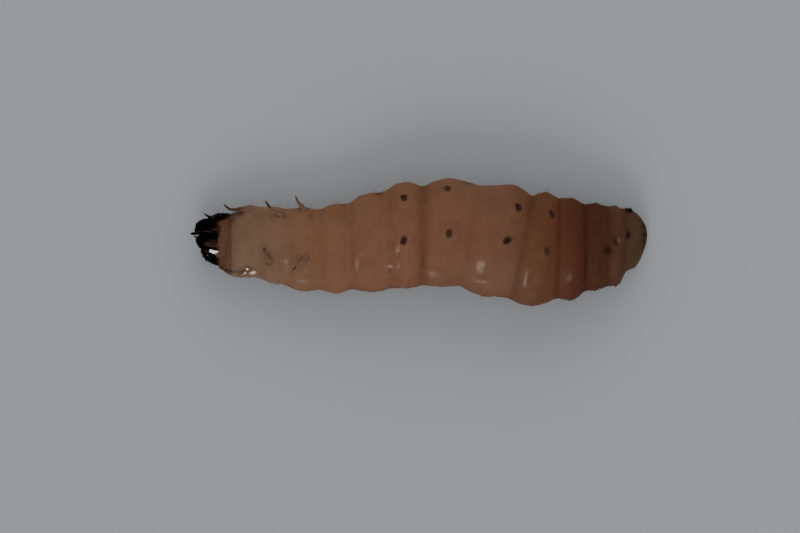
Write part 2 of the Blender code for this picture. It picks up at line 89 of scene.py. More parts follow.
DEPTH = 0.87
BELLY_GROOVE = 0.10     # how far the belly sinks at a joint
JOINT_LIFT = 0.13
TIP_LIFT = 0.28
SWELL = 0.8
BOXINESS = 0.93
ROLL = [(-6.33, 10.0), (-5.15, 18.0), (-4.2, 23.0), (5.4, 24.0), (6.9, 42.0)]

# Lobes and furrows: angle from the belly's midline, spread, place along the segment, spread, height.
LOBES = [
    (50.0, 12.0, 0.50, 0.20, 0.055),
    (88.0, 14.0, 0.50, 0.24, 0.060),
    (69.0, 6.0, 0.50, 0.50, -0.035),
    (0.0, 9.0, 0.50, 0.60, -0.030),
    (112.0, 7.0, 0.50, 0.50, -0.025),
]
BACK_FOLDS = (0.38, 0.68)
BACK_FOLD_DEPTH = 0.05
FOLD_SPREAD = 0.045
BACK_FROM = 100.0
BELLY_FOLD = 0.80
BELLY_FOLD_DEPTH = 0.03

# Finer forms of the skin: the collar behind each joint, pleats inside the joints and slow waves.
SOFTEN = (-0.10, -0.05, 0.0, 0.05, 0.10)
COLLAR = (0.17, 0.09, 0.030)            # place along a segment, spread, height
COLLAR_ANGLE = (58.0, 34.0)
PLEAT_STEP = 0.12
PLEAT_HEIGHT = 0.006
PLEAT_REACH = 0.14
WAVES = [(0.85, 0.045), (2.0, 0.022), (4.6, 0.007)]     # waves per millimetre, height

SKIN_ROWS = 404
SKIN_AROUND = 228
TUCK_ROWS = 16          # rows of the rolled-in front edge behind the head
TUCK_DEPTH = 0.30
TUCK_BULGE = 0.5
LIP_SHADE = 0.95         # painted shade on the lip of that edge, where it rolls in under the head

# The head, in its own directions: forward, left and belly side.
HEAD_YAW = 12.0
HEAD_ROLL = 8.0
HEAD_AT = (-6.33, 0.075, 0.98)
HEAD_HALF_WIDTH = 0.885
HEAD_DOME = 1.08
HEAD_FRONT = 0.74
HEAD_ROUND = 0.92
CROWN_POWER = 4         # 2 is an ellipse, more is a flatter crown
HEAD_BELLY_DEPTH = 0.70
HEAD_BACK_DEPTH = 0.80
HEAD_HIND = -0.36
TROUGH_DEPTH = 0.22
TROUGH_HALF_WIDTH = 0.33
TROUGH_FROM = 0.18
CHEEK_FROM = 0.50       # the cheeks narrow from here to the jaws
CHEEK_NARROWS = 0.12
CROWN_DROPS = 0.35      # and the crown sinks towards them

# Where the horn of the cheeks ends behind: distance from the head's midline, and how far forward.
HIND_LEFT = [(0.0, 0.36), (0.36, 0.35), (0.48, 0.31), (0.66, 0.08), (0.90, -0.02)]
HIND_RIGHT = [(0.0, 0.30), (0.20, 0.26), (0.36, 0.19), (0.60, 0.12), (0.90, 0.03)]
MEMBRANE_DROP = 0.035   # how far the neck's membrane lies below the horn
PALE_PATCH = (0.44, -0.30, 0.23, 0.085)     # forward, left, and reaches of the soft patch on the right

# How glossy the shell is, and the place on the right cheek that is polished: forward, left, slant, reaches.
GLOSS = 0.06
GLOSS_PATCH = (0.36, -0.535, -0.21, 0.19, 0.072)

STEMMA_RADIUS = 0.05
STEMMA_SUNK = 0.022
STEMMATA = [(0.60, 62.0), (0.66, 76.0), (0.62, 92.0), (0.52, 104.0), (0.42, 88.0), (0.48, 56.0)]

# Prolegs: segment, and for the left and the right one its place along the segment, its angle from the
# belly's midline, how its pad turns, and how dark the pad is.
PROLEGS = [
    (3, (0.42, 18.0, 12.0, 0.62), (0.42, 28.0, -18.0, 0.74)),
    (4, (0.45, 26.0, 35.0, 0.34), (0.56, 24.0, -6.0, 0.50)),
    (5, (0.77, 13.0, 18.0, 0.88), (0.70, 23.0, -58.0, 0.85)),
    (6, (0.72, 13.0, 28.0, 0.62), (0.66, 25.0, 4.0, 0.38)),
]
PROLEG_RADIUS = 0.38
PROLEG_HEIGHT = 0.075
PAD_LONG = 0.125
PAD_SHORT = 0.070
PAD_DENT = 0.02
MOUND_REACH = 1.6       # in radii of the bump
ANAL_PROLEGS = ((0.19, 22.0, 20.0, 1.00), (0.05, 31.0, -20.0, 0.85))
ANAL_PROLEG_RADIUS = 0.32

# Legs: side, segment, place along it, angle from the midline, heading in degrees from straight ahead,
# outwards, length, how far the claw bends outwards, and darkness of the limb and of the claw.
LEGS = [
    ("left", 1, 0.46, 43.0, -8.0, 1.30, 0.43, 0.55, 0.75),
    ("left", 2, 0.71, 28.0, 8.0, 0.97, 0.37, 0.10, 1.00),
    ("left", 3, 0.44, 43.0, 62.0, 0.76, 0.27, 0.10, 0.35),
    ("right", 1, 0.66, 62.0, 58.0, 0.74, 0.00, 0.05, 0.20),
    ("right", 2, 0.33, 41.0, -72.0, 0.84, 0.00, 0.05, 0.65),
    ("right", 3, 0.51, 34.0, 41.0, 0.90, 0.00, 0.05, 0.80),
]
WET_LEG = ("right", 1)
LEG_RADIUS = 0.27
LEG_RISE = 0.035
# A leg from its root to its claw: how far along, how high above the skin, and radius.
LEG_STEPS = [
    (0.00, -0.12, 0.150),
    (0.00, 0.00, 0.150),
    (0.01, 0.025, 0.132),
    (0.03, 0.055, 0.092),
    (0.06, 0.080, 0.093),
    (0.12, 0.105, 0.088),
    (0.19, 0.122, 0.070),
    (0.225, 0.127, 0.052),
    (0.26, 0.127, 0.056),
    (0.31, 0.124, 0.053),
    (0.365, 0.114, 0.038),
    (0.40, 0.108, 0.040),
    (0.445, 0.100, 0.036),
    (0.485, 0.092, 0.033),
    (0.51, 0.088, 0.032),
    (0.56, 0.075, 0.021),
    (0.605, 0.050, 0.000),
]
LEG_REACH = LEG_STEPS[-1][0]
LEG_HOOKED = 3.2

# Dark marks of the skin on the side that is up: place, across, reach along, reach across, strength.
MARKS = [
    (-5.97, 0.95, 0.17, 0.07, 0.62),
    (-5.80, 0.97, 0.06, 0.06, 0.85),
    (-6.06, 0.72, 0.09, 0.12, 0.30),
    (-4.42, 1.10, 0.07, 0.05, 0.45),
    (-3.55, 0.85, 0.10, 0.05, 0.35),
    (-2.46, 1.22, 0.08, 0.05, 0.45),
    (-1.32, 1.58, 0.14, 0.06, 0.55),
    (1.66, 2.00, 0.20, 0.09, 0.80),
    (-0.96, -0.90, 0.05, 0.14, 0.40),
    (0.11, -0.63, 0.05, 0.16, 0.40),
    (4.90, 0.67, 0.05, 0.05, 0.45),
    (5.43, -0.52, 0.05, 0.17, 0.35),
    (6.02, 1.18, 0.06, 0.06, 0.65),
    (6.39, 0.02, 0.09, 0.12, 0.75),
    (6.14, -0.25, 0.15, 0.13, 0.90),
    (5.62, -0.60, 0.07, 0.14, 0.40),
    (7.30, 0.07, 0.06, 0.08, 0.40),
    (6.82, 1.02, 0.10, 0.13, 0.95),
    (7.30, 0.74, 0.06, 0.08, 0.75),
    (7.37, 0.54, 0.08, 0.13, 0.97),
    (7.41, 0.28, 0.10, 0.16, 1.00),
    (7.40, 0.02, 0.08, 0.12, 0.97),
    (7.35, -0.16, 0.06, 0.09, 0.70),
    (-6.47, -0.84, 0.07, 0.08, 0.90),
    (-6.34, -0.91, 0.09, 0.06, 0.92),
    (-6.19, -0.94, 0.09, 0.05, 0.85),
    (-6.05, -0.96, 0.08, 0.04, 0.65),
]

# Wet places of the skin, flattened so that they catch the window's light: place, across, reach along,
# reach across, and how wet.
WET_PLACES = [
    (-5.46, -1.00, 0.17, 0.13, 0.60),
    (-4.39, -0.61, 0.14, 0.10, 0.13),
    (-3.80, -1.23, 0.20, 0.12, 0.07),
    (-3.19, -1.36, 0.17, 0.09, 0.13),
    (-3.05, -1.00, 0.13, 0.26, 0.08),
    (-2.42, -0.27, 0.11, 0.28, 0.10),
    (-2.04, -0.72, 0.15, 0.38, 0.22),
    (-0.83, -0.77, 0.22, 0.12, 0.13),
    (-0.73, -0.25, 0.14, 0.29, 0.22),
    (0.35, -1.06, 0.20, 0.18, 0.07),
    (0.61, -0.15, 0.18, 0.17, 0.10),
    (1.92, -1.22, 0.40, 0.12, 0.09),
    (2.02, -0.74, 0.18, 0.27, 0.15),
    (3.20, 0.88, 0.07, 0.26, 0.06),
    (3.43, -1.13, 0.18, 0.33, 0.13),
    (5.10, -1.23, 0.36, 0.22, 0.05),
    (6.52, 0.06, 0.15, 0.19, 0.75),
]
FLATTENED = 0.85                    # how much of the way to flat a wet place is
FACING = (0.0, -0.435, 0.90)        # the direction that faces between the window and the viewer

# Width and darkness at each joint: painted shade in the joint's crease, partly the joint's own darker band.
JOINT_TONE_AND_SHADE = [
    (0.07, 0.40), (0.07, 0.10), (0.07, 0.08), (0.07, 0.08), (0.07, 0.12), (0.08, 0.16), (0.19, 0.55),
    (0.09, 0.16), (0.08, 0.40), (0.09, 0.55), (0.08, 0.60), (0.08, 0.35), (0.08, 0.30), (0.07, 0.20),
]
NECK_UNTIL = -6.13                  # the first segment's soft front part ends here
NECK_DROP = 0.025
RIGHT_EDGE_SHADE = (-82.0, 7.0, 0.35)      # angle, spread and darkness of a painted shade line along the right side's edge


def mixed(a, b, share):
    return a + (b - a) * share


def bell(value, middle, spread):
    return math.exp(-((value - middle) / spread) ** 2)


def powered(value, power):
    return math.copysign(abs(value) ** power, value)


def eased(value, start, end):
    """0 before start and 1 after end, with a soft change between them."""
    share = min(max((value - start) / (end - start), 0.0), 1.0)
    return share * share * (3.0 - 2.0 * share)


def read_off(table, place):
    """A value between the rows of a table of (place, value)."""
    if place <= table[0][0]:
        return table[0][1]
    for (x0, y0), (x1, y1) in zip(table, table[1:]):
        if place < x1:
            return mixed(y0, y1, (place - x0) / (x1 - x0))
    return table[-1][1]


def between(stations, share):
    """A row of values on a smooth curve through the stations, for a share from 0 to 1."""
    place = share * (len(stations) - 1)
    index = min(int(place), len(stations) - 2)
    t = place - index
    rows = [stations[min(max(index + step, 0), len(stations) - 1)] for step in (-1, 0, 1, 2)]
    return [
        0.5 * (2 * b + (c - a) * t + (2 * a - 5 * b + 4 * c - d) * t ** 2 + (3 * b - a - 3 * c + d) * t ** 3)
        for a, b, c, d in zip(*rows)
    ]


def joint_lift(index):
    if index == len(JOINTS) - 1:
        return TIP_LIFT
    near = SEGMENTS[max(index - 1, 0):index + 1]
    return sum(row[4] for row in near) / len(near) + JOINT_LIFT


def joint_breadth(index):
    """Half width that a joint's depth is worked out from: that of its neighbours less the groove."""
    if index in (0, len(JOINTS) - 1):
        return (JOINTS[index][1] - JOINTS[index][2]) / 2
    near = SEGMENTS[index - 1:index + 1]
    return sum(row[2] - row[3] for row in near) / 4 - BELLY_GROOVE


def section(s):
    """The trunk's section at s: middle, half width, half depth, height, tilt, segment and share."""
    index = 0
    while index < len(SEGMENTS) - 1 and s > JOINTS[index + 1][0]:
        index += 1
    x0, left0, right0, tilt0 = JOINTS[index]
    x1, left1, right1, tilt1 = JOINTS[index + 1]
    _, belly, left, right, lift = SEGMENTS[index]
    share = min(max((s - x0) / (x1 - x0), 0.0), 1.0)
    if s < belly:
        part, joint, near_left, near_right = (s - x0) / (belly - x0), index, left0, right0
    else:
        part, joint, near_left, near_right = (x1 - s) / (x1 - belly), index + 1, left1, right1
    part = math.sin(min(max(part, 0.0), 1.0) * math.pi / 2) ** SWELL
    breadth = mixed(joint_breadth(joint), (left - right) / 2, part)
    left = mixed(near_left, left, part)
    right = mixed(near_right, right, part)
    low = mixed(joint_lift(joint), lift, part)
    half_width = (left - right) / 2
    half_depth = max(DEPTH * breadth - low / 2, 0.05)
    tilt = mixed(tilt0, tilt1, share)
    return (left + right) / 2, half_width, half_depth, low + half_depth, tilt, index, share


@functools.lru_cache(maxsize=None)
def soft_section(s):
    """The same with the joints' sharp grooves rounded, and how far the nearest joint is."""
    rows = [section(min(max(s + step, FRONT), END))[:5] for step in SOFTEN]
    if s > JOINTS[-2][0] + 0.3:
        rows = [section(s)[:5]]
    values = [sum(column) / len(rows) for column in zip(*rows)]
    index, share = section(s)[5:]
    return *values, index, share, min(s - JOINTS[index][0], JOINTS[index + 1][0] - s)


@functools.lru_cache(maxsize=None)
def roll_at(s):
    return read_off(ROLL, s)


def place_on(index, share, turned):
    """The place along the body and the angle of a spot on a segment, turned from the belly's midline."""
    s = mixed(JOINTS[index][0], JOINTS[index + 1][0], share)
    return s, roll_at(s) + turned


def relief(angle, index, share, near):
    """How far lobes, folds and pleats raise the skin, angle being from the belly's midline."""
    away = abs((angle + 180.0) % 360.0 - 180.0)
    height = 0.0
    for middle, spread, place, reach, tall in LOBES:
        height += tall * bell(away, middle, spread) * bell(share, place, reach)
    height += COLLAR[2] * bell(share, COLLAR[0], COLLAR[1]) * bell(away, *COLLAR_ANGLE)
    if away > BACK_FROM:
        edge = min((away - BACK_FROM) / 15.0, 1.0)
        for place in BACK_FOLDS:
            height -= BACK_FOLD_DEPTH * edge * bell(share, place, FOLD_SPREAD)
    else:
        height -= BELLY_FOLD_DEPTH * bell(share, BELLY_FOLD, FOLD_SPREAD) * bell(away, 30.0, 30.0)
    height *= math.sin(math.pi * share) ** 0.5
    if index == len(SEGMENTS) - 1:
        height *= 1.0 - eased(share, 0.2, 0.5)
    return height + PLEAT_HEIGHT * math.cos(2 * math.pi * near / PLEAT_STEP) * math.exp(-near / PLEAT_REACH)


def surface(s, angle, grow=0.0):
    """A point of the skin; angle is in degrees from straight up, towards the left."""
    middle, half_width, half_depth, height, tilt, index, share, near = soft_section(s)
    raised = grow + relief(angle - roll_at(s), index, share, near)
    across = powered(math.sin(math.radians(angle)), BOXINESS)
    upward = powered(math.cos(math.radians(angle)), BOXINESS)
    spot = Vector((s, half_width * across, half_depth * upward))
    for often, tall in WAVES:
        raised += tall * noise.noise(spot * often + Vector((3.1, 1.7, often)))
    y = (half_width + raised) * across
    z = height + (half_depth + raised) * upward
    return Vector((s + tilt * y, middle + y, max(z, 0.0)))


def way_out(s, angle):
    """Direction out of the skin."""
    step = 0.04
    along = surface(s + step, angle) - surface(s - step, angle)
    around = surface(s, angle + 2.0) - surface(s, angle - 2.0)
    return along.cross(around).normalized()


@functools.lru_cache(maxsize=None)
def mounds():
    """The bumps under prolegs and legs: centre, direction, radius, height, and a proleg's pad."""
    found = []
    rows = [(number + 2, PROLEG_RADIUS, pair) for number, *pair in PROLEGS]
    rows.append((len(SEGMENTS) - 1, ANAL_PROLEG_RADIUS, ANAL_PROLEGS))
    for index, radius, pair in rows:
        for side, (place, spread, *pad) in zip((1, -1), pair):
            spot = place_on(index, place, side * spread)
            found.append((surface(*spot), way_out(*spot), radius, PROLEG_HEIGHT, pad))
    for word, number, place, spread, *_ in LEGS:
        spot = place_on(number - 1, place, SIDES[word] * spread)
        found.append((surface(*spot), way_out(*spot), LEG_RADIUS, LEG_RISE, None))
    return found


def pad_ways(out, turn):
    """The two directions of a proleg's pad: along its rows of hooks, and square to them."""
    side, _ = across_of(out, Vector((1.0, 0.0, 0.0)))
    turned = Matrix.Rotation(math.radians(turn), 3, out)
    return turned @ side, turned @ side.cross(out)


def marked(point):
    """How dark the skin's own marks make it at a point of the side that is up."""
    dark = 0.0
    for x, y, along, across, strength in MARKS:
        if abs(point.x - x) < 3 * along and abs(point.y - y) < 3 * across:
            dark = max(dark, strength * bell(point.x, x, along) * bell(point.y, y, across))
    return dark


@functools.lru_cache(maxsize=None)
def angle_at(s, y):
    """The angle at which the skin of the upper side reaches y."""
    low, high = -88.0, 88.0
    for _ in range(24):
        middle = (low + high) / 2
        if surface(s, middle).y < y:
            low = middle
        else:
            high = middle
    return low


@functools.lru_cache(maxsize=None)
def wet_centres():
    return [surface(x, angle_at(x, y)) for x, y, *_ in WET_PLACES]


def wetted(point):
    """How far a wet place lifts the skin at a point of the side that is up, and how wet it is there."""
    lift = wet = 0.0
    for centre, (x, y, along, across, share) in zip(wet_centres(), WET_PLACES):
        if abs(point.x - x) < 2 * along and abs(point.y - y) < 2 * across:
            part = math.exp(-(((point.x - x) / along) ** 2 + ((point.y - y) / across) ** 2) ** 1.6)
            flat = centre.z - ((point.x - x) * FACING[0] + (point.y - y) * FACING[1]) / FACING[2]
            lift += (flat - point.z) * FLATTENED * min(3.0 * share, 1.0) * part
            wet = max(wet, share * eased(part, 0.15, 0.85))
    return lift, wet


def tucked(share, angle):
    """A point of the front edge, rolled in behind the head; share is 1 at the edge."""
    edge = surface(FRONT, angle)
    middle, _, _, height, tilt, *_ = soft_section(FRONT)
    centre = Vector((FRONT + tilt * middle, middle, height))
    point = centre + (edge - centre) * math.sin(share * math.pi / 2) ** 0.8
    point.x += TUCK_DEPTH * (1.0 - share) ** 1.5 - TUCK_BULGE * bell(share, 0.93, 0.16) * (1.0 - share)
    return point


def on_mounds(point):
    """The point raised by the bumps under prolegs and legs, with its shares of painted shade in the crease
    round a bump and of dark pad.
    """
    fold = dark = 0.0
    for centre, out, radius, tall, pad in mounds():
        reach = radius * MOUND_REACH
        off = point - centre
        if abs(off.x) > reach or off.length > reach:
            continue
        away = off.length
        rise = max(1.0 - (away / radius) ** 2, 0.0) ** 1.3
        rim = bell(away, radius * 1.05, 0.06)
        lifted = tall * min(rise * 1.25, 1.0 + 0.1 * rise) - 0.003 * rim
        if pad:
            side, ahead = pad_ways(out, pad[0])
            shape = math.hypot(off.dot(side) / PAD_LONG, off.dot(ahead) / PAD_SHORT)
            lifted -= PAD_DENT * bell(shape, 0.0, 0.6)
            dark = max(dark, pad[1] * eased(1.65 - shape, 0.0, 1.0))
        # Painted shade in the crease round the bump.
        fold = max(fold, 0.04 * rim)
        point = point + out * lifted
    return point, fold, dark


def skin_shape(along, turn):
    """A point of the skin with its shares of darkening (painted shade in creases and under the head, partly
    the joints' own bands), of dark marks and pads with a painted shade line, and of wet.
    """
    angle = 360.0 * turn
    row = along * SKIN_ROWS
    if row < TUCK_ROWS:
        # The tucked edge gets painted shade, as it lies in the shade under the head.
        return tucked(row / TUCK_ROWS, angle), (LIP_SHADE, 0.0, 0.0)
    s = mixed(FRONT, END, (row - TUCK_ROWS) / (SKIN_ROWS - TUCK_ROWS))
    *_, index, share, near = soft_section(s)
    point = surface(s, angle)
    # Painted shade in the joint's crease, partly the joint's own darker band.
    wide, deep = JOINT_TONE_AND_SHADE[index if share < 0.5 else index + 1]
    fold = deep * bell(near, 0.0, wide)
    dark = wet = 0.0
    upward = math.cos(math.radians(angle))
    if upward > -0.1:
        dark = marked(point) * eased(upward, -0.06, 0.10)
        lift, wet = wetted(point)
        point.z += lift
        # The neck behind the head is darkened: painted shade in the recess under the head, partly the
        # membrane's own tone; the lip beside it gets painted shade too.
        neck = eased(NECK_UNTIL - point.x, -0.05, 0.05)
        fold = max(fold, 0.70 * neck, LIP_SHADE * eased(FRONT + 0.12 - s, 0.0, 0.09))
        point.z -= NECK_DROP * neck
    # A painted shade line along the right side's edge, carried in the dark marks.
    from_line = ((angle - RIGHT_EDGE_SHADE[0] + 180.0) % 360.0) - 180.0
    dark = max(dark, RIGHT_EDGE_SHADE[2] * bell(from_line, 0.0, RIGHT_EDGE_SHADE[1]) * eased(s, -5.2, -4.0))
    point, rim_shade, pad_dark = on_mounds(point)
    if along > 1.0 - 1e-9:
        middle, _, _, height, *_ = soft_section(END)
        point = Vector((END + 0.01, middle, height))
    return point, (max(fold, rim_shade), max(dark, pad_dark), wet)


def wrapped(rows, around, shape, marks=()):
    """A closed form: a grid rolled up, whose points shape(along, turn) places, both from 0 to 1.

    With marks, shape gives a point and one value for each of these vertex attributes.
    """
    mesh = bmesh.new()
    add_wrapped(mesh, rows, around, shape, marks)
    return finished(mesh)


def add_wrapped(mesh, rows, around, shape, marks=()):
    layers = [mesh.verts.layers.float.get(name) or mesh.verts.layers.float.new(name) for name in marks]
    grid = bmesh.ops.create_grid(mesh, x_segments=rows, y_segments=around, size=1.0)
    for vert in grid["verts"]:
        made = shape((vert.co.x + 1.0) / 2.0, (vert.co.y + 1.0) / 2.0)
        if not layers:
            vert.co = made
            continue
        vert.co, values = made
        for layer, value in zip(layers, values):
            vert[layer] = value


def across_of(direction, hint):
    """Two directions square to a third."""
    side = direction.cross(hint).normalized()
    return side, side.cross(direction).normalized()


def add_limb(mesh, path, rows, around, hint, marks=(), flat=1.0):
    """A limb along path(share), which gives a point, a radius and the values of its marks."""
    spots = [path(i / rows) for i in range(rows + 1)]
    frames = []
    for i in range(rows + 1):
        ahead = spots[min(i + 1, rows)][0] - spots[max(i - 1, 0)][0]
        frames.append(across_of(ahead.normalized(), hint))

    def shape(along, turn):
        i = round(along * rows)
        centre, radius, *values = spots[i]
        side, up = frames[i]
        angle = 2 * math.pi * turn
        point = centre + side * radius * math.cos(angle) + up * radius * flat * math.sin(angle)
        return (point, values) if marks else point

    add_wrapped(mesh, rows, around, shape, marks)


def finished(mesh):
    """Joins the seams and poles of a mesh and turns its faces outwards."""
    bmesh.ops.remove_doubles(mesh, verts=mesh.verts, dist=WELD)
    bmesh.ops.recalc_face_normals(mesh, faces=mesh.faces)
    return mesh


def piece(name, mesh, finish, slot, *nodes):
    """Makes the named piece of a bmesh in millimetres, in place of the CAD nodes it stands for."""
    mesh.transform(TO_METRES)
    data = bpy.data.meshes.new(name)
    mesh.to_mesh(data)
    mesh.free()
    data.shade_smooth()
    data.materials.append(finish.material)
    thing = bpy.data.objects.new(name, data)
    bpy.context.scene.collection.objects.link(thing)
    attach(thing, BODY)
    if nodes:
        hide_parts(*nodes)


class Shade:
    """A socket of a material's nodes; arithmetic on it adds Math nodes."""

    def __init__(self, finish, socket):
        self.finish = finish
        self.socket = socket

    def math(self, operation, *values):
        return self.finish.node("ShaderNodeMath", {"operation": operation}, dict(enumerate(values)))

    def __add__(self, other):
        return self.math("ADD", self, other)

    def __radd__(self, other):
        return self.math("ADD", other, self)

    def __sub__(self, other):
        return self.math("SUBTRACT", self, other)

    def __rsub__(self, other):
        return self.math("SUBTRACT", other, self)

    def __mul__(self, other):
        return self.math("MULTIPLY", self, other)

    def __rmul__(self, other):
        return self.math("MULTIPLY", other, self)


class Finish:
    """A material and its nodes."""

    def __init__(self, name, **constants):
        self.material = bpy.data.materials.new(name)
        self.material.use_nodes = True
        self.tree = self.material.node_tree
        self.shader = self.tree.nodes["Principled BSDF"]
        for socket, value in constants.items():
            self.shader.inputs[socket.replace("_", " ")].default_value = value
        place = self.node("ShaderNodeTexCoord", {}, {}, "Object")
        self.place = self.node("ShaderNodeVectorMath", {"operation": "SCALE"}, {0: place, "Scale": 1.0 / MM})

    def node(self, kind, settings, sockets, output=0):
        """One node: its type, its settings, and the values or links of its sockets."""
        made = self.tree.nodes.new(kind)
        for name, value in settings.items():
            if name == "stops":
                self.set_stops(made.color_ramp, value)
            else:
                setattr(made, name, value)
        for name, value in sockets.items():
            if isinstance(value, Shade):
                self.tree.links.new(value.socket, made.inputs[name])
            else:
                made.inputs[name].default_value = value
        return Shade(self, made.outputs[output])

    def set_stops(self, ramp, stops):
        while len(ramp.elements) > 1:
            ramp.elements.remove(ramp.elements[-1])
        ramp.elements[0].position, ramp.elements[0].color = stops[0][0], colour(stops[0][1])
        for place, value in stops[1:]:
            ramp.elements.new(place).color = colour(value)

    def feed(self, name, value):
        self.tree.links.new(value.socket, self.shader.inputs[name])

    def uneven(self, name, least, often, detail, spread):
        """Feeds a socket with a value that noise raises by up to spread."""
        self.feed(name, least + self.noise(often, detail) * spread)

    def along(self):
        """Place along the body, in millimetres."""
        return self.node("ShaderNodeSeparateXYZ", {}, {0: self.place}, "X")

    def mark(self, name):
        return self.node("ShaderNodeAttribute", {"attribute_name": name}, {}, "Fac")

    def noise(self, often, detail=3.0, rough=0.5, stretch=None):
        """Noise from 0 to 1, often per millimetre."""
        place = self.place
        if stretch:
            place = self.node("ShaderNodeMapping", {}, {"Vector": place, "Scale": stretch})
        return self.node(
            "ShaderNodeTexNoise", {}, {"Vector": place, "Scale": often, "Detail": detail, "Roughness": rough})

    def cells(self, often):
        """Distance to the edges of cells, often per millimetre."""
        settings = {"feature": "DISTANCE_TO_EDGE"}
        return self.node("ShaderNodeTexVoronoi", settings, {"Vector": self.place, "Scale": often}, "Distance")

    def eased(self, value, low, high, start=0.0, end=1.0):
        return self.node(
            "ShaderNodeMapRange", {"interpolation_type": "SMOOTHSTEP"},
            {"Value": value, "From Min": low, "From Max": high, "To Min": start, "To Max": end})

    def ramp(self, value, stops):
        return self.node("ShaderNodeValToRGB", {"stops": stops}, {"Fac": value})

    def mix(self, share, first, second, blend="MIX"):
        first = first if isinstance(first, Shade) else colour(first)
        second = second if isinstance(second, Shade) else colour(second)
        return self.node(
            "ShaderNodeMix", {"data_type": "RGBA", "blend_type": blend, "clamp_factor": True},
            {0: share, 6: first, 7: second}, 2)

    def bump(self, height, depth, strength=1.0):
        """Bump from a height of 0 to 1, depth millimetres deep."""
        normal = self.node(
            "ShaderNodeBump", {}, {"Height": height, "Distance": depth * MM, "Strength": strength})
        self.feed("Normal", normal)


def colour(value):
    return (*value, 1.0)


MEMBRANE = (0.20, 0.100, 0.064)
HORN_BLACK = (0.0035, 0.002, 0.002)
HORN_BROWN = (0.085, 0.030, 0.012)
DARK_BROWN = (0.030, 0.010, 0.004)

# Colour of the skin at places along the body.
SKIN_COLOURS = [
    (-6.2, (0.270, 0.165, 0.110)),
    (-5.0, (0.300, 0.175, 0.110)),
    (-3.4, (0.310, 0.155, 0.085)),
    (0.9, (0.290, 0.138, 0.080)),
    (2.7, (0.265, 0.128, 0.078)),
    (3.7, (0.212, 0.094, 0.050)),
    (4.5, (0.190, 0.075, 0.038)),
    (5.1, (0.140, 0.046, 0.028)),
    (5.9, (0.112, 0.043, 0.024)),
    (6.4, (0.140, 0.064, 0.040)),
    (7.1, (0.128, 0.072, 0.040)),
]
SPAN = 8.0


def skin_finish():
    made = Finish(
        "moist_skin", Subsurface_Weight=0.25, Subsurface_Radius=(1.0, 0.38, 0.20), Subsurface_Scale=0.30 * MM,
        Specular_IOR_Level=0.02, Coat_Roughness=0.27, IOR=1.42)
    stops = [((x + SPAN) / (2 * SPAN), value) for x, value in SKIN_COLOURS]
    tone = made.ramp((made.along() + SPAN) * (0.5 / SPAN), stops)
    blotches = made.noise(0.9, 4.0, 0.6)
    grains = made.noise(6.5, 3.0, 0.6)
    tone = made.mix(made.eased(blotches, 0.35, 0.75) * 0.40, tone, (0.76, 0.66, 0.60), "MULTIPLY")
    tone = made.mix(made.eased(grains, 0.45, 0.75) * 0.5, tone, (1.30, 1.22, 1.18), "MULTIPLY")
    tone = made.mix(made.eased(made.noise(13.0, 2.0), 0.5, 0.8) * 0.30, tone, (0.62, 0.52, 0.46), "MULTIPLY")
    # Painted shade in creases, at the neck and on the tucked lip, partly the joints' own darker bands.
    tone = made.mix(made.mark("fold"), tone, (0.62, 0.44, 0.38), "MULTIPLY")
    # Dark marks and pads of the skin, with the painted shade line along the right side.
    tone = made.mix(made.mark("dark"), tone, DARK_BROWN)
    made.feed("Base Color", tone)
    wrinkles = made.noise(3.0, 4.0, 0.6, stretch=(3.2, 1.0, 1.0))
    made.uneven("Roughness", 0.46, 2.2, 3.0, 0.16)
    patchy = made.eased(made.noise(4.0, 3.0, 0.6), 0.30, 0.62, 0.35, 1.0)
    made.feed("Coat Weight", made.mark("wet") * patchy)
    height = wrinkles * 0.65 + made.noise(14.0, 3.0) * 0.22 + made.noise(55.0, 2.0) * 0.08
    made.bump(height, 0.045)
    return made


def shell_finish():
    made = Finish("black_horn", Specular_IOR_Level=0.0, Coat_Roughness=0.05, IOR=1.5)
    brown = made.mark("rim")
    soft = made.mark("membrane")
    tone = made.mix(made.eased(made.noise(4.0, 3.0), 0.4, 0.8) * 0.5, HORN_BLACK, (0.005, 0.0025, 0.002))
    tone = made.mix(brown, tone, HORN_BROWN)
    pink = made.mix(made.noise(7.0, 3.0), MEMBRANE, (0.15, 0.068, 0.042))
    tone = made.mix(soft, tone, pink)
    made.feed("Base Color", tone)
    made.feed("Roughness", 0.08 + made.noise(9.0, 2.0) * 0.06 + soft * 0.50)
    made.feed("Coat Weight", made.mark("gloss") * (0.62 + made.noise(2.0, 2.0) * 0.12))
    made.bump(made.eased(made.cells(15.0), 0.0, 0.35) * 0.6 + made.noise(30.0, 2.0) * 0.25, 0.0015)
    return made


def mouth_finish():
    made = Finish("jaw_horn", Specular_IOR_Level=0.0, Coat_Roughness=0.08, IOR=1.5)
    tone = made.mix(made.mark("pale"), HORN_BLACK, (0.22, 0.11, 0.07))
    tone = made.mix(made.eased(made.noise(12.0, 3.0), 0.4, 0.8) * 0.4, tone, (0.008, 0.004, 0.0025))
    made.feed("Base Color", tone)
    made.uneven("Roughness", 0.16, 16.0, 2.0, 0.10)
    made.uneven("Coat Weight", 0.01, 5.0, 1.0, 0.03)
    made.bump(made.noise(26.0, 3.0, stretch=(0.5, 1.6, 1.6)), 0.008)
    return made


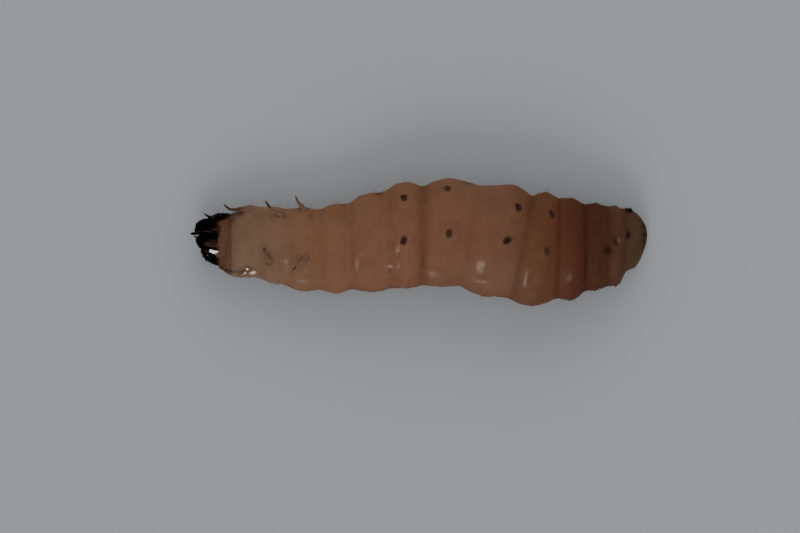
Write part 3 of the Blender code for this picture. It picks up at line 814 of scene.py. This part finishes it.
def horn_finish():
    made = Finish(
        "leg_horn", Subsurface_Weight=0.20, Subsurface_Radius=(1.0, 0.4, 0.2), Subsurface_Scale=0.2 * MM,
        Specular_IOR_Level=0.02, Coat_Roughness=0.12, IOR=1.48)
    horn = made.mark("horn")
    tone = made.ramp(horn, [
        (0.0, (0.262, 0.150, 0.095)),
        (0.30, (0.19, 0.105, 0.066)),
        (0.62, (0.075, 0.040, 0.025)),
        (1.0, (0.012, 0.006, 0.004)),
    ])
    tone = made.mix(made.noise(10.0, 3.0) * 0.4, tone, (0.66, 0.52, 0.44), "MULTIPLY")
    made.feed("Base Color", tone)
    made.uneven("Roughness", 0.40, 8.0, 2.0, 0.14)
    made.feed("Coat Weight", horn * 0.02 + made.mark("wet") * 0.9)
    made.bump(made.noise(24.0, 3.0), 0.008)
    return made


def plate_finish():
    made = Finish("plate_horn", Specular_IOR_Level=0.3, Coat_Roughness=0.12, IOR=1.5)
    clouds = made.eased(made.noise(5.0, 4.0, 0.6), 0.35, 0.7)
    tone = made.mix(clouds, (0.18, 0.10, 0.052), (0.12, 0.058, 0.030))
    tone = made.mix(made.mark("rim"), tone, DARK_BROWN)
    made.feed("Base Color", tone)
    made.uneven("Roughness", 0.30, 9.0, 2.0, 0.14)
    made.uneven("Coat Weight", 0.08, 4.0, 1.0, 0.10)
    made.bump(made.noise(20.0, 3.0) * 0.6 + made.eased(made.cells(11.0), 0.0, 0.4) * 0.4, 0.010)
    return made


def hair_finish():
    made = Finish("amber_hair", Transmission_Weight=0.25, Specular_IOR_Level=0.2, IOR=1.5)
    made.feed("Base Color", made.mix(made.noise(3.0, 2.0), (0.26, 0.15, 0.07), (0.13, 0.06, 0.025)))
    made.uneven("Roughness", 0.35, 10.0, 1.0, 0.15)
    return made


def hook_finish():
    made = Finish("hook_horn", Specular_IOR_Level=0.15, IOR=1.5, Coat_Roughness=0.1)
    tone = made.mix(made.noise(9.0, 2.0), (0.018, 0.007, 0.003), (0.040, 0.015, 0.006))
    made.feed("Base Color", made.mix(made.mark("dark"), (0.15, 0.070, 0.040), tone))
    made.uneven("Roughness", 0.30, 20.0, 1.0, 0.15)
    made.uneven("Coat Weight", 0.03, 6.0, 1.0, 0.05)
    return made


def lens_finish():
    made = Finish("eye_lens", Coat_Roughness=0.06, Coat_Weight=0.10, Specular_IOR_Level=0.2, IOR=1.5)
    made.feed("Base Color", made.mix(made.noise(12.0, 2.0), (0.008, 0.004, 0.003), (0.020, 0.009, 0.004)))
    made.uneven("Roughness", 0.07, 20.0, 1.0, 0.06)
    return made


def make_skin(finish):
    mesh = wrapped(SKIN_ROWS, SKIN_AROUND, skin_shape, ("fold", "dark", "wet"))
    nodes = [row[0] for row in SEGMENTS]
    nodes += [f"proleg_{word}_{number}" for word in SIDES for number, *_ in PROLEGS]
    nodes += ["anal_proleg_" + word for word in SIDES]
    piece("skin", mesh, finish, "flesh", *nodes)


def head_frame():
    """Carries the head's own directions to the body's."""
    yaw = Matrix.Rotation(math.radians(180.0 - HEAD_YAW), 4, "Z")
    flip = Matrix.Diagonal((1.0, -1.0, 1.0, 1.0))
    roll = Matrix.Rotation(math.radians(HEAD_ROLL), 4, "X")
    return Matrix.Translation(Vector(HEAD_AT)) @ yaw @ flip @ roll.inverted()


def head_point(forward, angle, grow=0.0):
    """A point of the head capsule; angle is in degrees from the belly side, towards the left."""
    share = min(abs(forward) / HEAD_DOME, 1.0)
    narrowing = eased(forward, CHEEK_FROM, HEAD_FRONT)
    round_off = math.sqrt(1.0 - share ** 2) ** HEAD_ROUND * (1.0 - CHEEK_NARROWS * narrowing)
    crown_off = math.sqrt(1.0 - share ** CROWN_POWER) ** HEAD_ROUND * (1.0 - CROWN_DROPS * narrowing)
    across = math.sin(math.radians(angle))
    upward = math.cos(math.radians(angle))
    depth = HEAD_BELLY_DEPTH if upward > 0 else HEAD_BACK_DEPTH
    left = (HEAD_HALF_WIDTH * round_off + grow) * powered(across, 0.95)
    belly = (depth * crown_off + grow) * upward
    if upward > 0:
        edge = eased(TROUGH_HALF_WIDTH + 0.10 - abs(left), 0.0, 0.12)
        belly -= TROUGH_DEPTH * edge * eased(forward, TROUGH_FROM, TROUGH_FROM + 0.16)
        belly += 0.02 * bell(abs(left), 0.52, 0.12) * eased(forward, 0.1, 0.4)
    else:
        belly += 0.05 * bell(left, 0.0, 0.045)
        split = 0.42 * max(forward - 0.15, 0.0)
        seam = 0.018 * bell(abs(left), split, 0.022) * eased(forward, 0.15, 0.2)
        belly += seam * eased(0.7 - forward, 0.0, 0.1)
    return Vector((forward, left, belly))


def capsule_shape(along, turn):
    """The head's shell, its brown rim, and the neck's membrane behind it."""
    angle = 360.0 * turn
    if along < 0.10:
        share = along / 0.10
        rim = head_point(-0.12, angle)
        point = Vector((HEAD_HIND, rim.y, rim.z))
        point = mixed(Vector((HEAD_HIND, 0.0, 0.0)), point, share * 0.80)
    elif along < 0.22:
        share = (along - 0.10) / 0.12
        rim = head_point(mixed(HEAD_HIND, 0.0, share), angle)
        wider = mixed(0.80, 1.0, eased(share, 0, 1))
        point = Vector((rim.x, rim.y * wider, rim.z * wider))
    elif along < 0.86:
        point = head_point(HEAD_FRONT * math.sin(math.pi / 2 * (along - 0.22) / 0.64), angle)
    else:
        share = (along - 0.86) / 0.14
        rim = head_point(HEAD_FRONT, angle)
        point = mixed(rim, Vector((HEAD_FRONT - 0.10 * share, 0.0, 0.0)), share)
    belly_side = eased(point.z, -0.05, 0.15)
    hind = read_off(HIND_LEFT if point.y > 0 else HIND_RIGHT, abs(point.y))
    hind += 0.012 * noise.noise(point * 6.0)
    behind = eased(hind - point.x, -0.012, 0.028) * belly_side
    ahead, aside, long, wide = PALE_PATCH
    away = math.hypot((point.x - ahead) / long, (point.y - aside) / wide)
    patch = eased(1.35 - away, 0.0, 0.5) * belly_side
    rim = 0.9 * eased(point.x, hind + 0.15, hind - 0.01) * belly_side * (1.0 - behind)
    point.z -= MEMBRANE_DROP * behind * eased(hind - point.x, 0.0, 0.05)
    point.z -= 0.02 * noise.noise(Vector((point.x * 3.0, point.y * 3.0, 4.0))) * behind
    soft = max(behind, 0.9 * patch)
    ahead, aside, slant, long, wide = GLOSS_PATCH
    away = math.hypot((point.x - ahead) / long, (point.y - aside - slant * (point.x - ahead)) / wide)
    gloss = GLOSS + (1.0 - GLOSS) * eased(1.2 - away, 0.0, 0.3) * belly_side
    gloss *= 1.0 - soft
    return point, (soft, rim, gloss)


def make_head(finish, lens):
    mesh = wrapped(230, 216, capsule_shape, ("membrane", "rim", "gloss"))
    mesh.transform(head_frame())
    bmesh.ops.recalc_face_normals(mesh, faces=mesh.faces)
    piece("head_capsule", mesh, finish, "head_shell", "head")
    eyes = bmesh.new()
    for side in (1, -1):
        for forward, angle in STEMMATA:
            at = head_point(forward, side * angle, -STEMMA_SUNK)
            bmesh.ops.create_uvsphere(
                eyes, u_segments=28, v_segments=18, radius=STEMMA_RADIUS, matrix=Matrix.Translation(at))
    eyes.transform(head_frame())
    bmesh.ops.recalc_face_normals(eyes, faces=eyes.faces)
    piece("stemmata", eyes, lens, "head_shell")


def ring_shape(stations, power=0.75, warp=None, pale=None):
    """The shape function of a form through stations: forward, left, belly, half width, half depth."""

    def shape(along, turn):
        forward, left, belly, half_width, half_depth = between(stations, along)
        closed = min(along, 1.0 - along) < 1e-9
        angle = 2 * math.pi * turn
        y = 0.0 if closed else max(half_width, 0.0) * powered(math.sin(angle), power)
        z = 0.0 if closed else max(half_depth, 0.0) * powered(math.cos(angle), power)
        point = Vector((forward, left + y, belly + z))
        if warp:
            point = warp(point, along)
        return point, (pale(point, along) if pale else 0.0,)

    return shape


# Stations of the mouthparts in the head's directions: forward, left, belly, half width, half depth. The
# labrum's and the jaws' places forward are from the front of the mouth.
MOUTH_FRONT = HEAD_FRONT + 0.06
LABRUM = [
    (-0.08, 0.0, -0.37, 0.30, 0.09),
    (-0.06, 0.0, -0.37, 0.31, 0.095),
    (0.04, 0.0, -0.365, 0.30, 0.09),
    (0.12, 0.0, -0.35, 0.27, 0.075),
    (0.18, 0.0, -0.33, 0.20, 0.045),
    (0.20, 0.0, -0.33, 0.10, 0.01),
]
JAW_MIDDLE = -0.06
JAWS = {
    "left": [
        (-0.10, 0.295, -0.05, 0.23, 0.15),
        (-0.08, 0.305, -0.05, 0.270, 0.19),
        (0.02, 0.298, JAW_MIDDLE, 0.270, 0.185),
        (0.12, 0.275, JAW_MIDDLE, 0.247, 0.165),
        (0.20, 0.252, JAW_MIDDLE, 0.212, 0.120),
        (0.255, 0.228, JAW_MIDDLE, 0.172, 0.060),
        (0.285, 0.208, JAW_MIDDLE, 0.135, 0.016),
    ],
    "right": [
        (-0.10, -0.240, -0.05, 0.17, 0.15),
        (-0.08, -0.245, -0.05, 0.20, 0.19),
        (0.00, -0.236, JAW_MIDDLE, 0.196, 0.185),
        (0.07, -0.212, JAW_MIDDLE, 0.168, 0.160),
        (0.12, -0.188, JAW_MIDDLE, 0.136, 0.115),
        (0.165, -0.164, JAW_MIDDLE, 0.102, 0.060),
        (0.19, -0.152, JAW_MIDDLE, 0.078, 0.016),
    ],
}
TOOTH_STEP = 0.085
TOOTH_HEIGHT = 0.026
JAW_RIDGES = [(0.18, 0.012), (0.30, 0.010)]     # distance from the midline, height
RIDGE_SPREAD = 0.02
MAXILLA = [
    (0.30, 0.210, 0.50, 0.02, 0.02),
    (0.33, 0.194, 0.525, 0.050, 0.055),
    (0.42, 0.197, 0.520, 0.062, 0.068),
    (0.56, 0.194, 0.478, 0.056, 0.062),
    (0.64, 0.194, 0.452, 0.064, 0.070),
    (0.78, 0.187, 0.398, 0.058, 0.064),
    (0.84, 0.180, 0.372, 0.046, 0.052),
    (0.87, 0.177, 0.360, 0.050, 0.056),
    (0.94, 0.162, 0.330, 0.040, 0.046),
    (0.97, 0.154, 0.318, 0.030, 0.034),
    (1.00, 0.147, 0.308, 0.032, 0.036),
    (1.05, 0.134, 0.292, 0.018, 0.020),
    (1.07, 0.132, 0.290, 0.004, 0.004),
]
LABIUM = [
    (0.27, 0.0, 0.53, 0.03, 0.02),
    (0.30, 0.0, 0.55, 0.085, 0.06),
    (0.38, 0.0, 0.553, 0.115, 0.078),
    (0.52, 0.0, 0.508, 0.112, 0.080),
    (0.62, 0.0, 0.470, 0.098, 0.074),
    (0.67, 0.0, 0.450, 0.106, 0.080),
    (0.78, 0.0, 0.400, 0.094, 0.080),
    (0.88, 0.0, 0.352, 0.078, 0.070),
    (0.95, 0.0, 0.322, 0.060, 0.056),
    (0.98, -0.022, 0.312, 0.058, 0.054),
    (1.04, -0.036, 0.290, 0.056, 0.050),
    (1.10, -0.050, 0.272, 0.050, 0.044),
    (1.15, -0.060, 0.258, 0.040, 0.036),
    (1.19, -0.065, 0.250, 0.018, 0.018),
]
# The lower lip's feelers: forward, left, belly, radius.
PALP = [
    (0.90, 0.050, 0.375, 0.000),
    (0.91, 0.052, 0.375, 0.022),
    (0.97, 0.066, 0.358, 0.020),
    (0.985, 0.069, 0.354, 0.012),
    (1.02, 0.076, 0.342, 0.013),
    (1.05, 0.080, 0.334, 0.004),
    (1.10, 0.088, 0.325, 0.000),
]


def make_mouth(finish):
    """Jaws, upper lip, and the lower lip with a maxilla on each side."""
    to_body = head_frame()

    def place(name, mesh):
        mesh.transform(to_body)
        piece(name, finished(mesh), finish, "mouthparts", name)

    def from_front(stations):
        return [(MOUTH_FRONT + forward, *rest) for forward, *rest in stations]

    def notched(point, along):
        point.x -= 0.06 * bell(point.y, 0.0, 0.07) * eased(along, 0.5, 1.0)
        return point

    labrum = bmesh.new()
    add_wrapped(labrum, 40, 48, ring_shape(from_front(LABRUM), warp=notched), ("pale",))
    place("labrum", labrum)

    for word, side in SIDES.items():

        def toothed(point, along):
            biting = eased(along, 0.72, 1.0)
            wave = math.cos(2 * math.pi * (point.y - side * 0.10) / TOOTH_STEP)
            point.x += TOOTH_HEIGHT * biting * wave
            ridge = sum(tall * bell(point.y, side * aside, RIDGE_SPREAD) for aside, tall in JAW_RIDGES)
            point.z += ridge * (1 if point.z > JAW_MIDDLE else -1) * (1.0 - biting)
            return point

        mandible = bmesh.new()
        add_wrapped(mandible, 56, 56, ring_shape(from_front(JAWS[word]), warp=toothed), ("pale",))
        place("mandible_" + word, mandible)

        def stalked(point, along):
            return 0.25 * eased(0.30 - along, 0.0, 0.2)

        maxilla = bmesh.new()
        stations = [(forward, side * left, *rest) for forward, left, *rest in MAXILLA]
        add_wrapped(maxilla, 60, 28, ring_shape(stations, power=0.9, pale=stalked), ("pale",))
        place("maxilla_" + word, maxilla)

    def chinned(point, along):
        line = bell(point.y, 0.088, 0.014) * eased(point.x, 0.45, 0.55) * eased(0.97 - point.x, 0.0, 0.08)
        return max(0.8 * line, 0.7 * bell(point.x, 0.92, 0.03) * bell(point.y, -0.08, 0.03))

    labium = bmesh.new()
    add_wrapped(labium, 70, 36, ring_shape(LABIUM, power=0.85, pale=chinned), ("pale",))
    for side in (1, -1):

        def path(share):
            forward, left, belly, radius = between(PALP, share)
            return Vector((forward, side * left, belly)), max(radius, 0.0), 0.2

        add_limb(labium, path, 24, 12, Vector((0.0, 0.0, 1.0)), ("pale",))
    place("labium", labium)


# Antennae in the head's directions: root's place and angle, direction, and length.
ANTENNAE = [
    ("left", 0.68, 72.0, (0.90, 0.36, 0.10), 0.36),
    ("right", 0.60, -62.0, (0.80, 0.42, -0.20), 0.24),
]
ANTENNA_STEPS = [
    (-0.30, 0.050), (-0.05, 0.052), (0.10, 0.048), (0.22, 0.040), (0.26, 0.029),
    (0.34, 0.030), (0.56, 0.027), (0.60, 0.015), (0.66, 0.010), (0.85, 0.006), (1.00, 0.000),
]


def make_antennae(finish):
    """A short jointed feeler with its bristle on each side of the jaws."""
    for word, forward, angle, way, length in ANTENNAE:
        root = head_point(forward, angle)
        out = Vector(way).normalized()

        def path(share):
            along, radius = between(ANTENNA_STEPS, share)
            horn = 1.0 - 0.40 * eased(along, 0.25, 0.60)
            return root + out * along * length, max(radius, 0.0), horn, 0.0

        mesh = bmesh.new()
        add_limb(mesh, path, 60, 20, Vector((0.0, 0.0, 1.0)), ("horn", "wet"))
        mesh.transform(head_frame())
        piece("antenna_" + word, finished(mesh), finish, "leg_horn", "antenna_" + word)


def make_legs(finish):
    """Six jointed legs with their claws."""
    for word, number, place, spread, heading, length, bend, limb, claw in LEGS:
        side = SIDES[word]
        spot = place_on(number - 1, place, side * spread)
        root = surface(*spot)
        out = way_out(*spot)
        turn = math.radians(heading)
        way = Vector((-math.cos(turn), side * math.sin(turn), 0.0))
        way = (way - out * way.dot(out)).normalized()
        aside = Vector((0.0, side, 0.0))

        def path(share):
            along, height, radius = between(LEG_STEPS, share)
            horn = limb * eased(share, 0.12, 0.40) + (claw - limb) * eased(share, 0.62, 0.86)
            for joint in (0.19, 0.44, 0.63, 0.83):
                horn -= 0.15 * limb * bell(share, joint, 0.022)
            point = root + way * along * length
            point += aside * bend * max(along / LEG_REACH, 0.0) ** LEG_HOOKED
            wet = 1.0 if (word, number) == WET_LEG else 0.0
            return point + out * (height + 0.02), max(radius, 0.0), max(horn, 0.0), wet

        mesh = bmesh.new()
        add_limb(mesh, path, 96, 36, out, ("horn", "wet"), flat=0.92)
        name = f"leg_{word}_{number}"
        piece(name, finished(mesh), finish, "leg_horn", name)


def patch_shape(s_middle, s_half, a_middle, a_half, thick):
    """A plate that lies on the skin, thick in the middle and sunk in at its edge; closed below."""

    def shape(along, turn):
        spread = math.sin(math.pi * min(along, 1.0 - along))
        turned = 2 * math.pi * turn
        s = s_middle + s_half * spread * powered(math.cos(turned), 0.7)
        angle = a_middle + a_half * spread * powered(math.sin(turned), 0.7)
        over = thick * (1.0 - spread ** 6) if along <= 0.5 else -thick
        if abs(along - 0.5) < 1e-9:
            over = -thick * 0.4
        rim = eased(spread, 0.86, 0.99)
        return surface(s, angle, over), (rim,)

    return shape


# Plates: piece, node, segment, place along it, half length, and half width in degrees.
PLATES = [
    ("neck_shield", "prothoracic_shield", 0, 0.46, 0.44, 56.0),
    ("tail_shield", "anal_shield", len(SEGMENTS) - 1, 0.50, 0.40, 62.0),
]
PLATE_THICK = 0.022


def make_plates(finish):
    """The plate on the back behind the head, and the plate over the tail."""
    for name, node, index, place, half, half_angle in PLATES:
        s, angle = place_on(index, place, 180.0)
        mesh = wrapped(60, 120, patch_shape(s, half, angle, half_angle, PLATE_THICK), ("rim",))
        piece(name, mesh, finish, "plates", node)


# Primary hairs of a segment: angle from the belly's midline, place along it, and length.
HAIRS = [
    (14.0, 0.46, 0.22),
    (47.0, 0.30, 0.34),
    (52.0, 0.58, 0.40),
    (60.0, 0.44, 0.34),
    (82.0, 0.56, 0.50),
    (92.0, 0.36, 0.44),
    (100.0, 0.62, 0.36),
    (122.0, 0.42, 0.52),
    (148.0, 0.28, 0.34),
    (158.0, 0.60, 0.44),
]
HEAD_HAIRS = [
    (0.30, 48.0), (0.52, 40.0), (0.45, 72.0), (0.30, 95.0), (0.60, 118.0),
    (0.40, 135.0), (0.15, 118.0), (0.55, 150.0), (0.20, 155.0),
]
HAIR_RADIUS = 0.0045
HAIR_OVER_FLOOR = 0.012
HAIR_HINT = Vector((0.31, 0.22, 0.92)).normalized()     # no hair grows this way
SEED = 11


def add_hair(mesh, root, way, bend, length):
    def path(share):
        point = root + way * length * share + bend * length * share * share
        point.z = max(point.z, HAIR_OVER_FLOOR)
        thin = 0.0 if share in (0.0, 1.0) else HAIR_RADIUS * (1.0 - share) ** 0.6
        return point, thin

    add_limb(mesh, path, 7, 5, HAIR_HINT)


def make_hairs(finish):
    """Sparse bristles of the body and the head, one mesh."""
    draw = random.Random(SEED)
    mesh = bmesh.new()
    for index in range(len(SEGMENTS)):
        for spread, place, length in HAIRS:
            for side in (1, -1):
                if index == len(SEGMENTS) - 1 and (place > 0.5 or spread < 40.0):
                    continue
                share = place + draw.uniform(-0.03, 0.03)
                spot = place_on(index, share, side * (spread + draw.uniform(-3.0, 3.0)))
                root = surface(*spot, -0.01)
                out = way_out(*spot)
                lean = Vector((draw.uniform(-0.5, 0.3), draw.uniform(-0.3, 0.3), draw.uniform(-0.1, 0.1)))
                way = (out + lean * 0.7).normalized()
                bend = Vector((draw.uniform(-0.35, 0.35), draw.uniform(-0.2, 0.2), -0.15))
                add_hair(mesh, root, way, bend, length * draw.uniform(0.35, 0.60))
    to_body = head_frame()
    for side in (1, -1):
        for forward, angle in HEAD_HAIRS:
            at = head_point(forward, side * angle)
            out = Vector((0.35, at.y, at.z)).normalized()
            bend = Vector((draw.uniform(0.1, 0.5), 0.0, draw.uniform(-0.1, 0.1)))
            root = to_body @ at
            turned = to_body.to_3x3()
            add_hair(mesh, root, turned @ out, turned @ bend, draw.uniform(0.18, 0.30))
    piece("hairs", finished(mesh), finish, "leg_horn")


HOOKS = 9           # hooks in each of a pad's two rows
HOOK_ROW = 0.115    # half the length of a row
HOOK_APART = 0.032  # half the distance between the rows
# A hook from its root to its tip: how far out from the row, how high, and radius.
HOOK_STEPS = [
    (0.0, -0.03, 0.0), (0.0, -0.02, 0.010), (0.004, 0.012, 0.010), (0.018, 0.034, 0.009),
    (0.036, 0.038, 0.0075), (0.050, 0.026, 0.005), (0.056, 0.012, 0.0),
]


def make_hooks(finish):
    """Rows of small hooks on the prolegs' pads, one mesh."""
    mesh = bmesh.new()
    for centre, out, _, tall, pad in mounds():
        if not pad:
            continue
        turn, dark = pad
        side, ahead = pad_ways(out, turn)
        for row in (1, -1):
            for i in range(HOOKS):
                share = 2.0 * i / (HOOKS - 1) - 1.0
                size = 0.75 + 0.35 * (1.0 - share * share)
                root = centre + side * HOOK_ROW * share
                root += ahead * row * HOOK_APART * (1.2 - 0.4 * share * share)
                root += out * tall * 0.97

                def path(along):
                    forth, high, thick = between(HOOK_STEPS, along)
                    point = root + (ahead * row * forth + out * high) * size * 1.2
                    return point, max(thick, 0.0) * 1.25, dark

                add_limb(mesh, path, 9, 6, side, ("dark",))
    piece("proleg_hooks", finished(mesh), finish, "leg_horn")


# Breathing holes: segment, place along it, angle from the midline, and radius.
SPIRACLES = [
    (0, 0.72, 96.0, 0.075),
    *[(index, 0.46, 103.0, 0.055) for index in range(3, 10)],
    (10, 0.44, 108.0, 0.075),
]


def make_spiracles(finish):
    """The ring of each breathing hole along the sides, one mesh."""
    mesh = bmesh.new()
    for index, place, spread, size in SPIRACLES:
        for side in (1, -1):
            spot = place_on(index, place, side * spread)
            centre, out = surface(*spot), way_out(*spot)
            across, along_body = across_of(out, Vector((1.0, 0.0, 0.0)))

            def ring(along, turn):
                tube, swing = 2 * math.pi * along, 2 * math.pi * turn
                reach = size * (1.0 + 0.22 * math.cos(tube))
                flat = across * reach * math.cos(swing) + along_body * reach * 0.66 * math.sin(swing)
                return centre + flat + out * size * (0.20 * math.sin(tube) + 0.02), (0.75,)

            add_wrapped(mesh, 10, 28, ring, ("rim",))

            def bowl(along, turn):
                swing = 2 * math.pi * turn
                spread_out = math.sin(math.pi * along)
                flat = across * math.cos(swing) + along_body * 0.66 * math.sin(swing)
                point = centre + flat * size * 0.9 * spread_out
                return point + out * size * 0.12 * math.cos(math.pi * along), (1.0,)

            add_wrapped(mesh, 8, 20, bowl, ("rim",))
    piece("spiracles", finished(mesh), finish, "plates")


PICTURE = (800, 533)            # the photograph's frame, in pixels
MM_PER_PIXEL = 0.03275
CENTRE_PIXEL = (419.25, 242.5)  # where the body's own origin lies in that frame
VIEW_HEIGHT = 0.16


def make_camera():
    """Straight above, the head to the left, in the photograph's framing."""
    x = (PICTURE[0] / 2 - CENTRE_PIXEL[0]) * MM_PER_PIXEL + CENTRED.x
    y = (CENTRE_PIXEL[1] - PICTURE[1] / 2) * MM_PER_PIXEL + CENTRED.y
    data = bpy.data.cameras.new("camera")
    data.sensor_width = 36.0
    data.lens = data.sensor_width * (VIEW_HEIGHT - 1.4 * MM) / (PICTURE[0] * MM_PER_PIXEL * MM)
    data.clip_start = 0.005
    data.clip_end = 5.0
    camera = bpy.data.objects.new("camera", data)
    camera.location = (x * MM, y * MM, VIEW_HEIGHT)
    bpy.context.scene.collection.objects.link(camera)
    bpy.context.scene.camera = camera


def lamp(name, elevation, azimuth, distance, size, power, tint):
    """A soft light that looks at the middle of the body; azimuth 0 is on the -Y side."""
    data = bpy.data.lights.new(name, "AREA")
    data.shape = "RECTANGLE"
    data.size, data.size_y = size
    data.energy = power
    data.color = tint
    light = bpy.data.objects.new(name, data)
    up, turn = math.radians(elevation), math.radians(azimuth)
    way = Vector((math.sin(turn) * math.cos(up), -math.cos(turn) * math.cos(up), math.sin(up)))
    light.location = way * distance
    light.rotation_euler = way.to_track_quat("Z", "Y").to_euler()
    bpy.context.scene.collection.objects.link(light)
    return light


SKY = 0.46              # strength of the room's light
SKY_IN_GLOSS = 0.10     # and of its mirror image in wet or polished places


# Lamps: name, elevation, azimuth, distance, size, power and tint.
LAMPS = [
    ("window", 42.0, -4.0, 0.30, (0.16, 0.12), 0.15, (0.97, 0.99, 1.0)),
    ("wall", 40.0, 176.0, 0.30, (0.20, 0.16), 0.10, (1.0, 0.98, 0.96)),
    ("pane", 35.0, -12.0, 0.30, (0.24, 0.16), 4.2, (1.0, 0.90, 0.80)),
]


def make_light():
    """Soft light from both sides in an evenly lit room, with a bright pane that only gloss shows."""
    lamps = {row[0]: lamp(*row) for row in LAMPS}
    lamps["wall"].visible_glossy = False
    lamps["pane"].visible_diffuse = False
    world = bpy.data.worlds.new("room_light")
    world.use_nodes = True
    tree = world.node_tree
    path = tree.nodes.new("ShaderNodeLightPath")
    share = tree.nodes.new("ShaderNodeMapRange")
    share.inputs["To Min"].default_value = SKY
    share.inputs["To Max"].default_value = SKY_IN_GLOSS
    tree.links.new(path.outputs["Is Glossy Ray"], share.inputs["Value"])
    sky = tree.nodes["Background"]
    sky.inputs["Color"].default_value = (0.93, 0.97, 1.0, 1.0)
    tree.links.new(share.outputs[0], sky.inputs["Strength"])
    bpy.context.scene.world = world


def make_floor():
    mesh = bmesh.new()
    bmesh.ops.create_grid(mesh, x_segments=1, y_segments=1, size=0.5)
    data = bpy.data.meshes.new("floor")
    mesh.to_mesh(data)
    mesh.free()
    floor = bpy.data.objects.new("floor", data)
    finish = Finish("pale_floor", Specular_IOR_Level=0.0)
    finish.feed("Base Color", finish.mix(finish.noise(0.12, 3.0), (0.56, 0.585, 0.60), (0.60, 0.62, 0.63)))
    finish.uneven("Roughness", 0.75, 2.0, 2.0, 0.15)
    finish.bump(finish.noise(6.0, 3.0), 0.02, 0.4)
    data.materials.append(finish.material)
    bpy.context.scene.collection.objects.link(floor)


def main():
    make_skin(skin_finish())
    make_head(shell_finish(), lens_finish())
    make_mouth(mouth_finish())
    horn = horn_finish()
    make_antennae(horn)
    make_legs(horn)
    plates = plate_finish()
    make_plates(plates)
    make_spiracles(plates)
    make_hooks(hook_finish())
    make_hairs(hair_finish())
    make_floor()
    make_light()
    make_camera()


main()
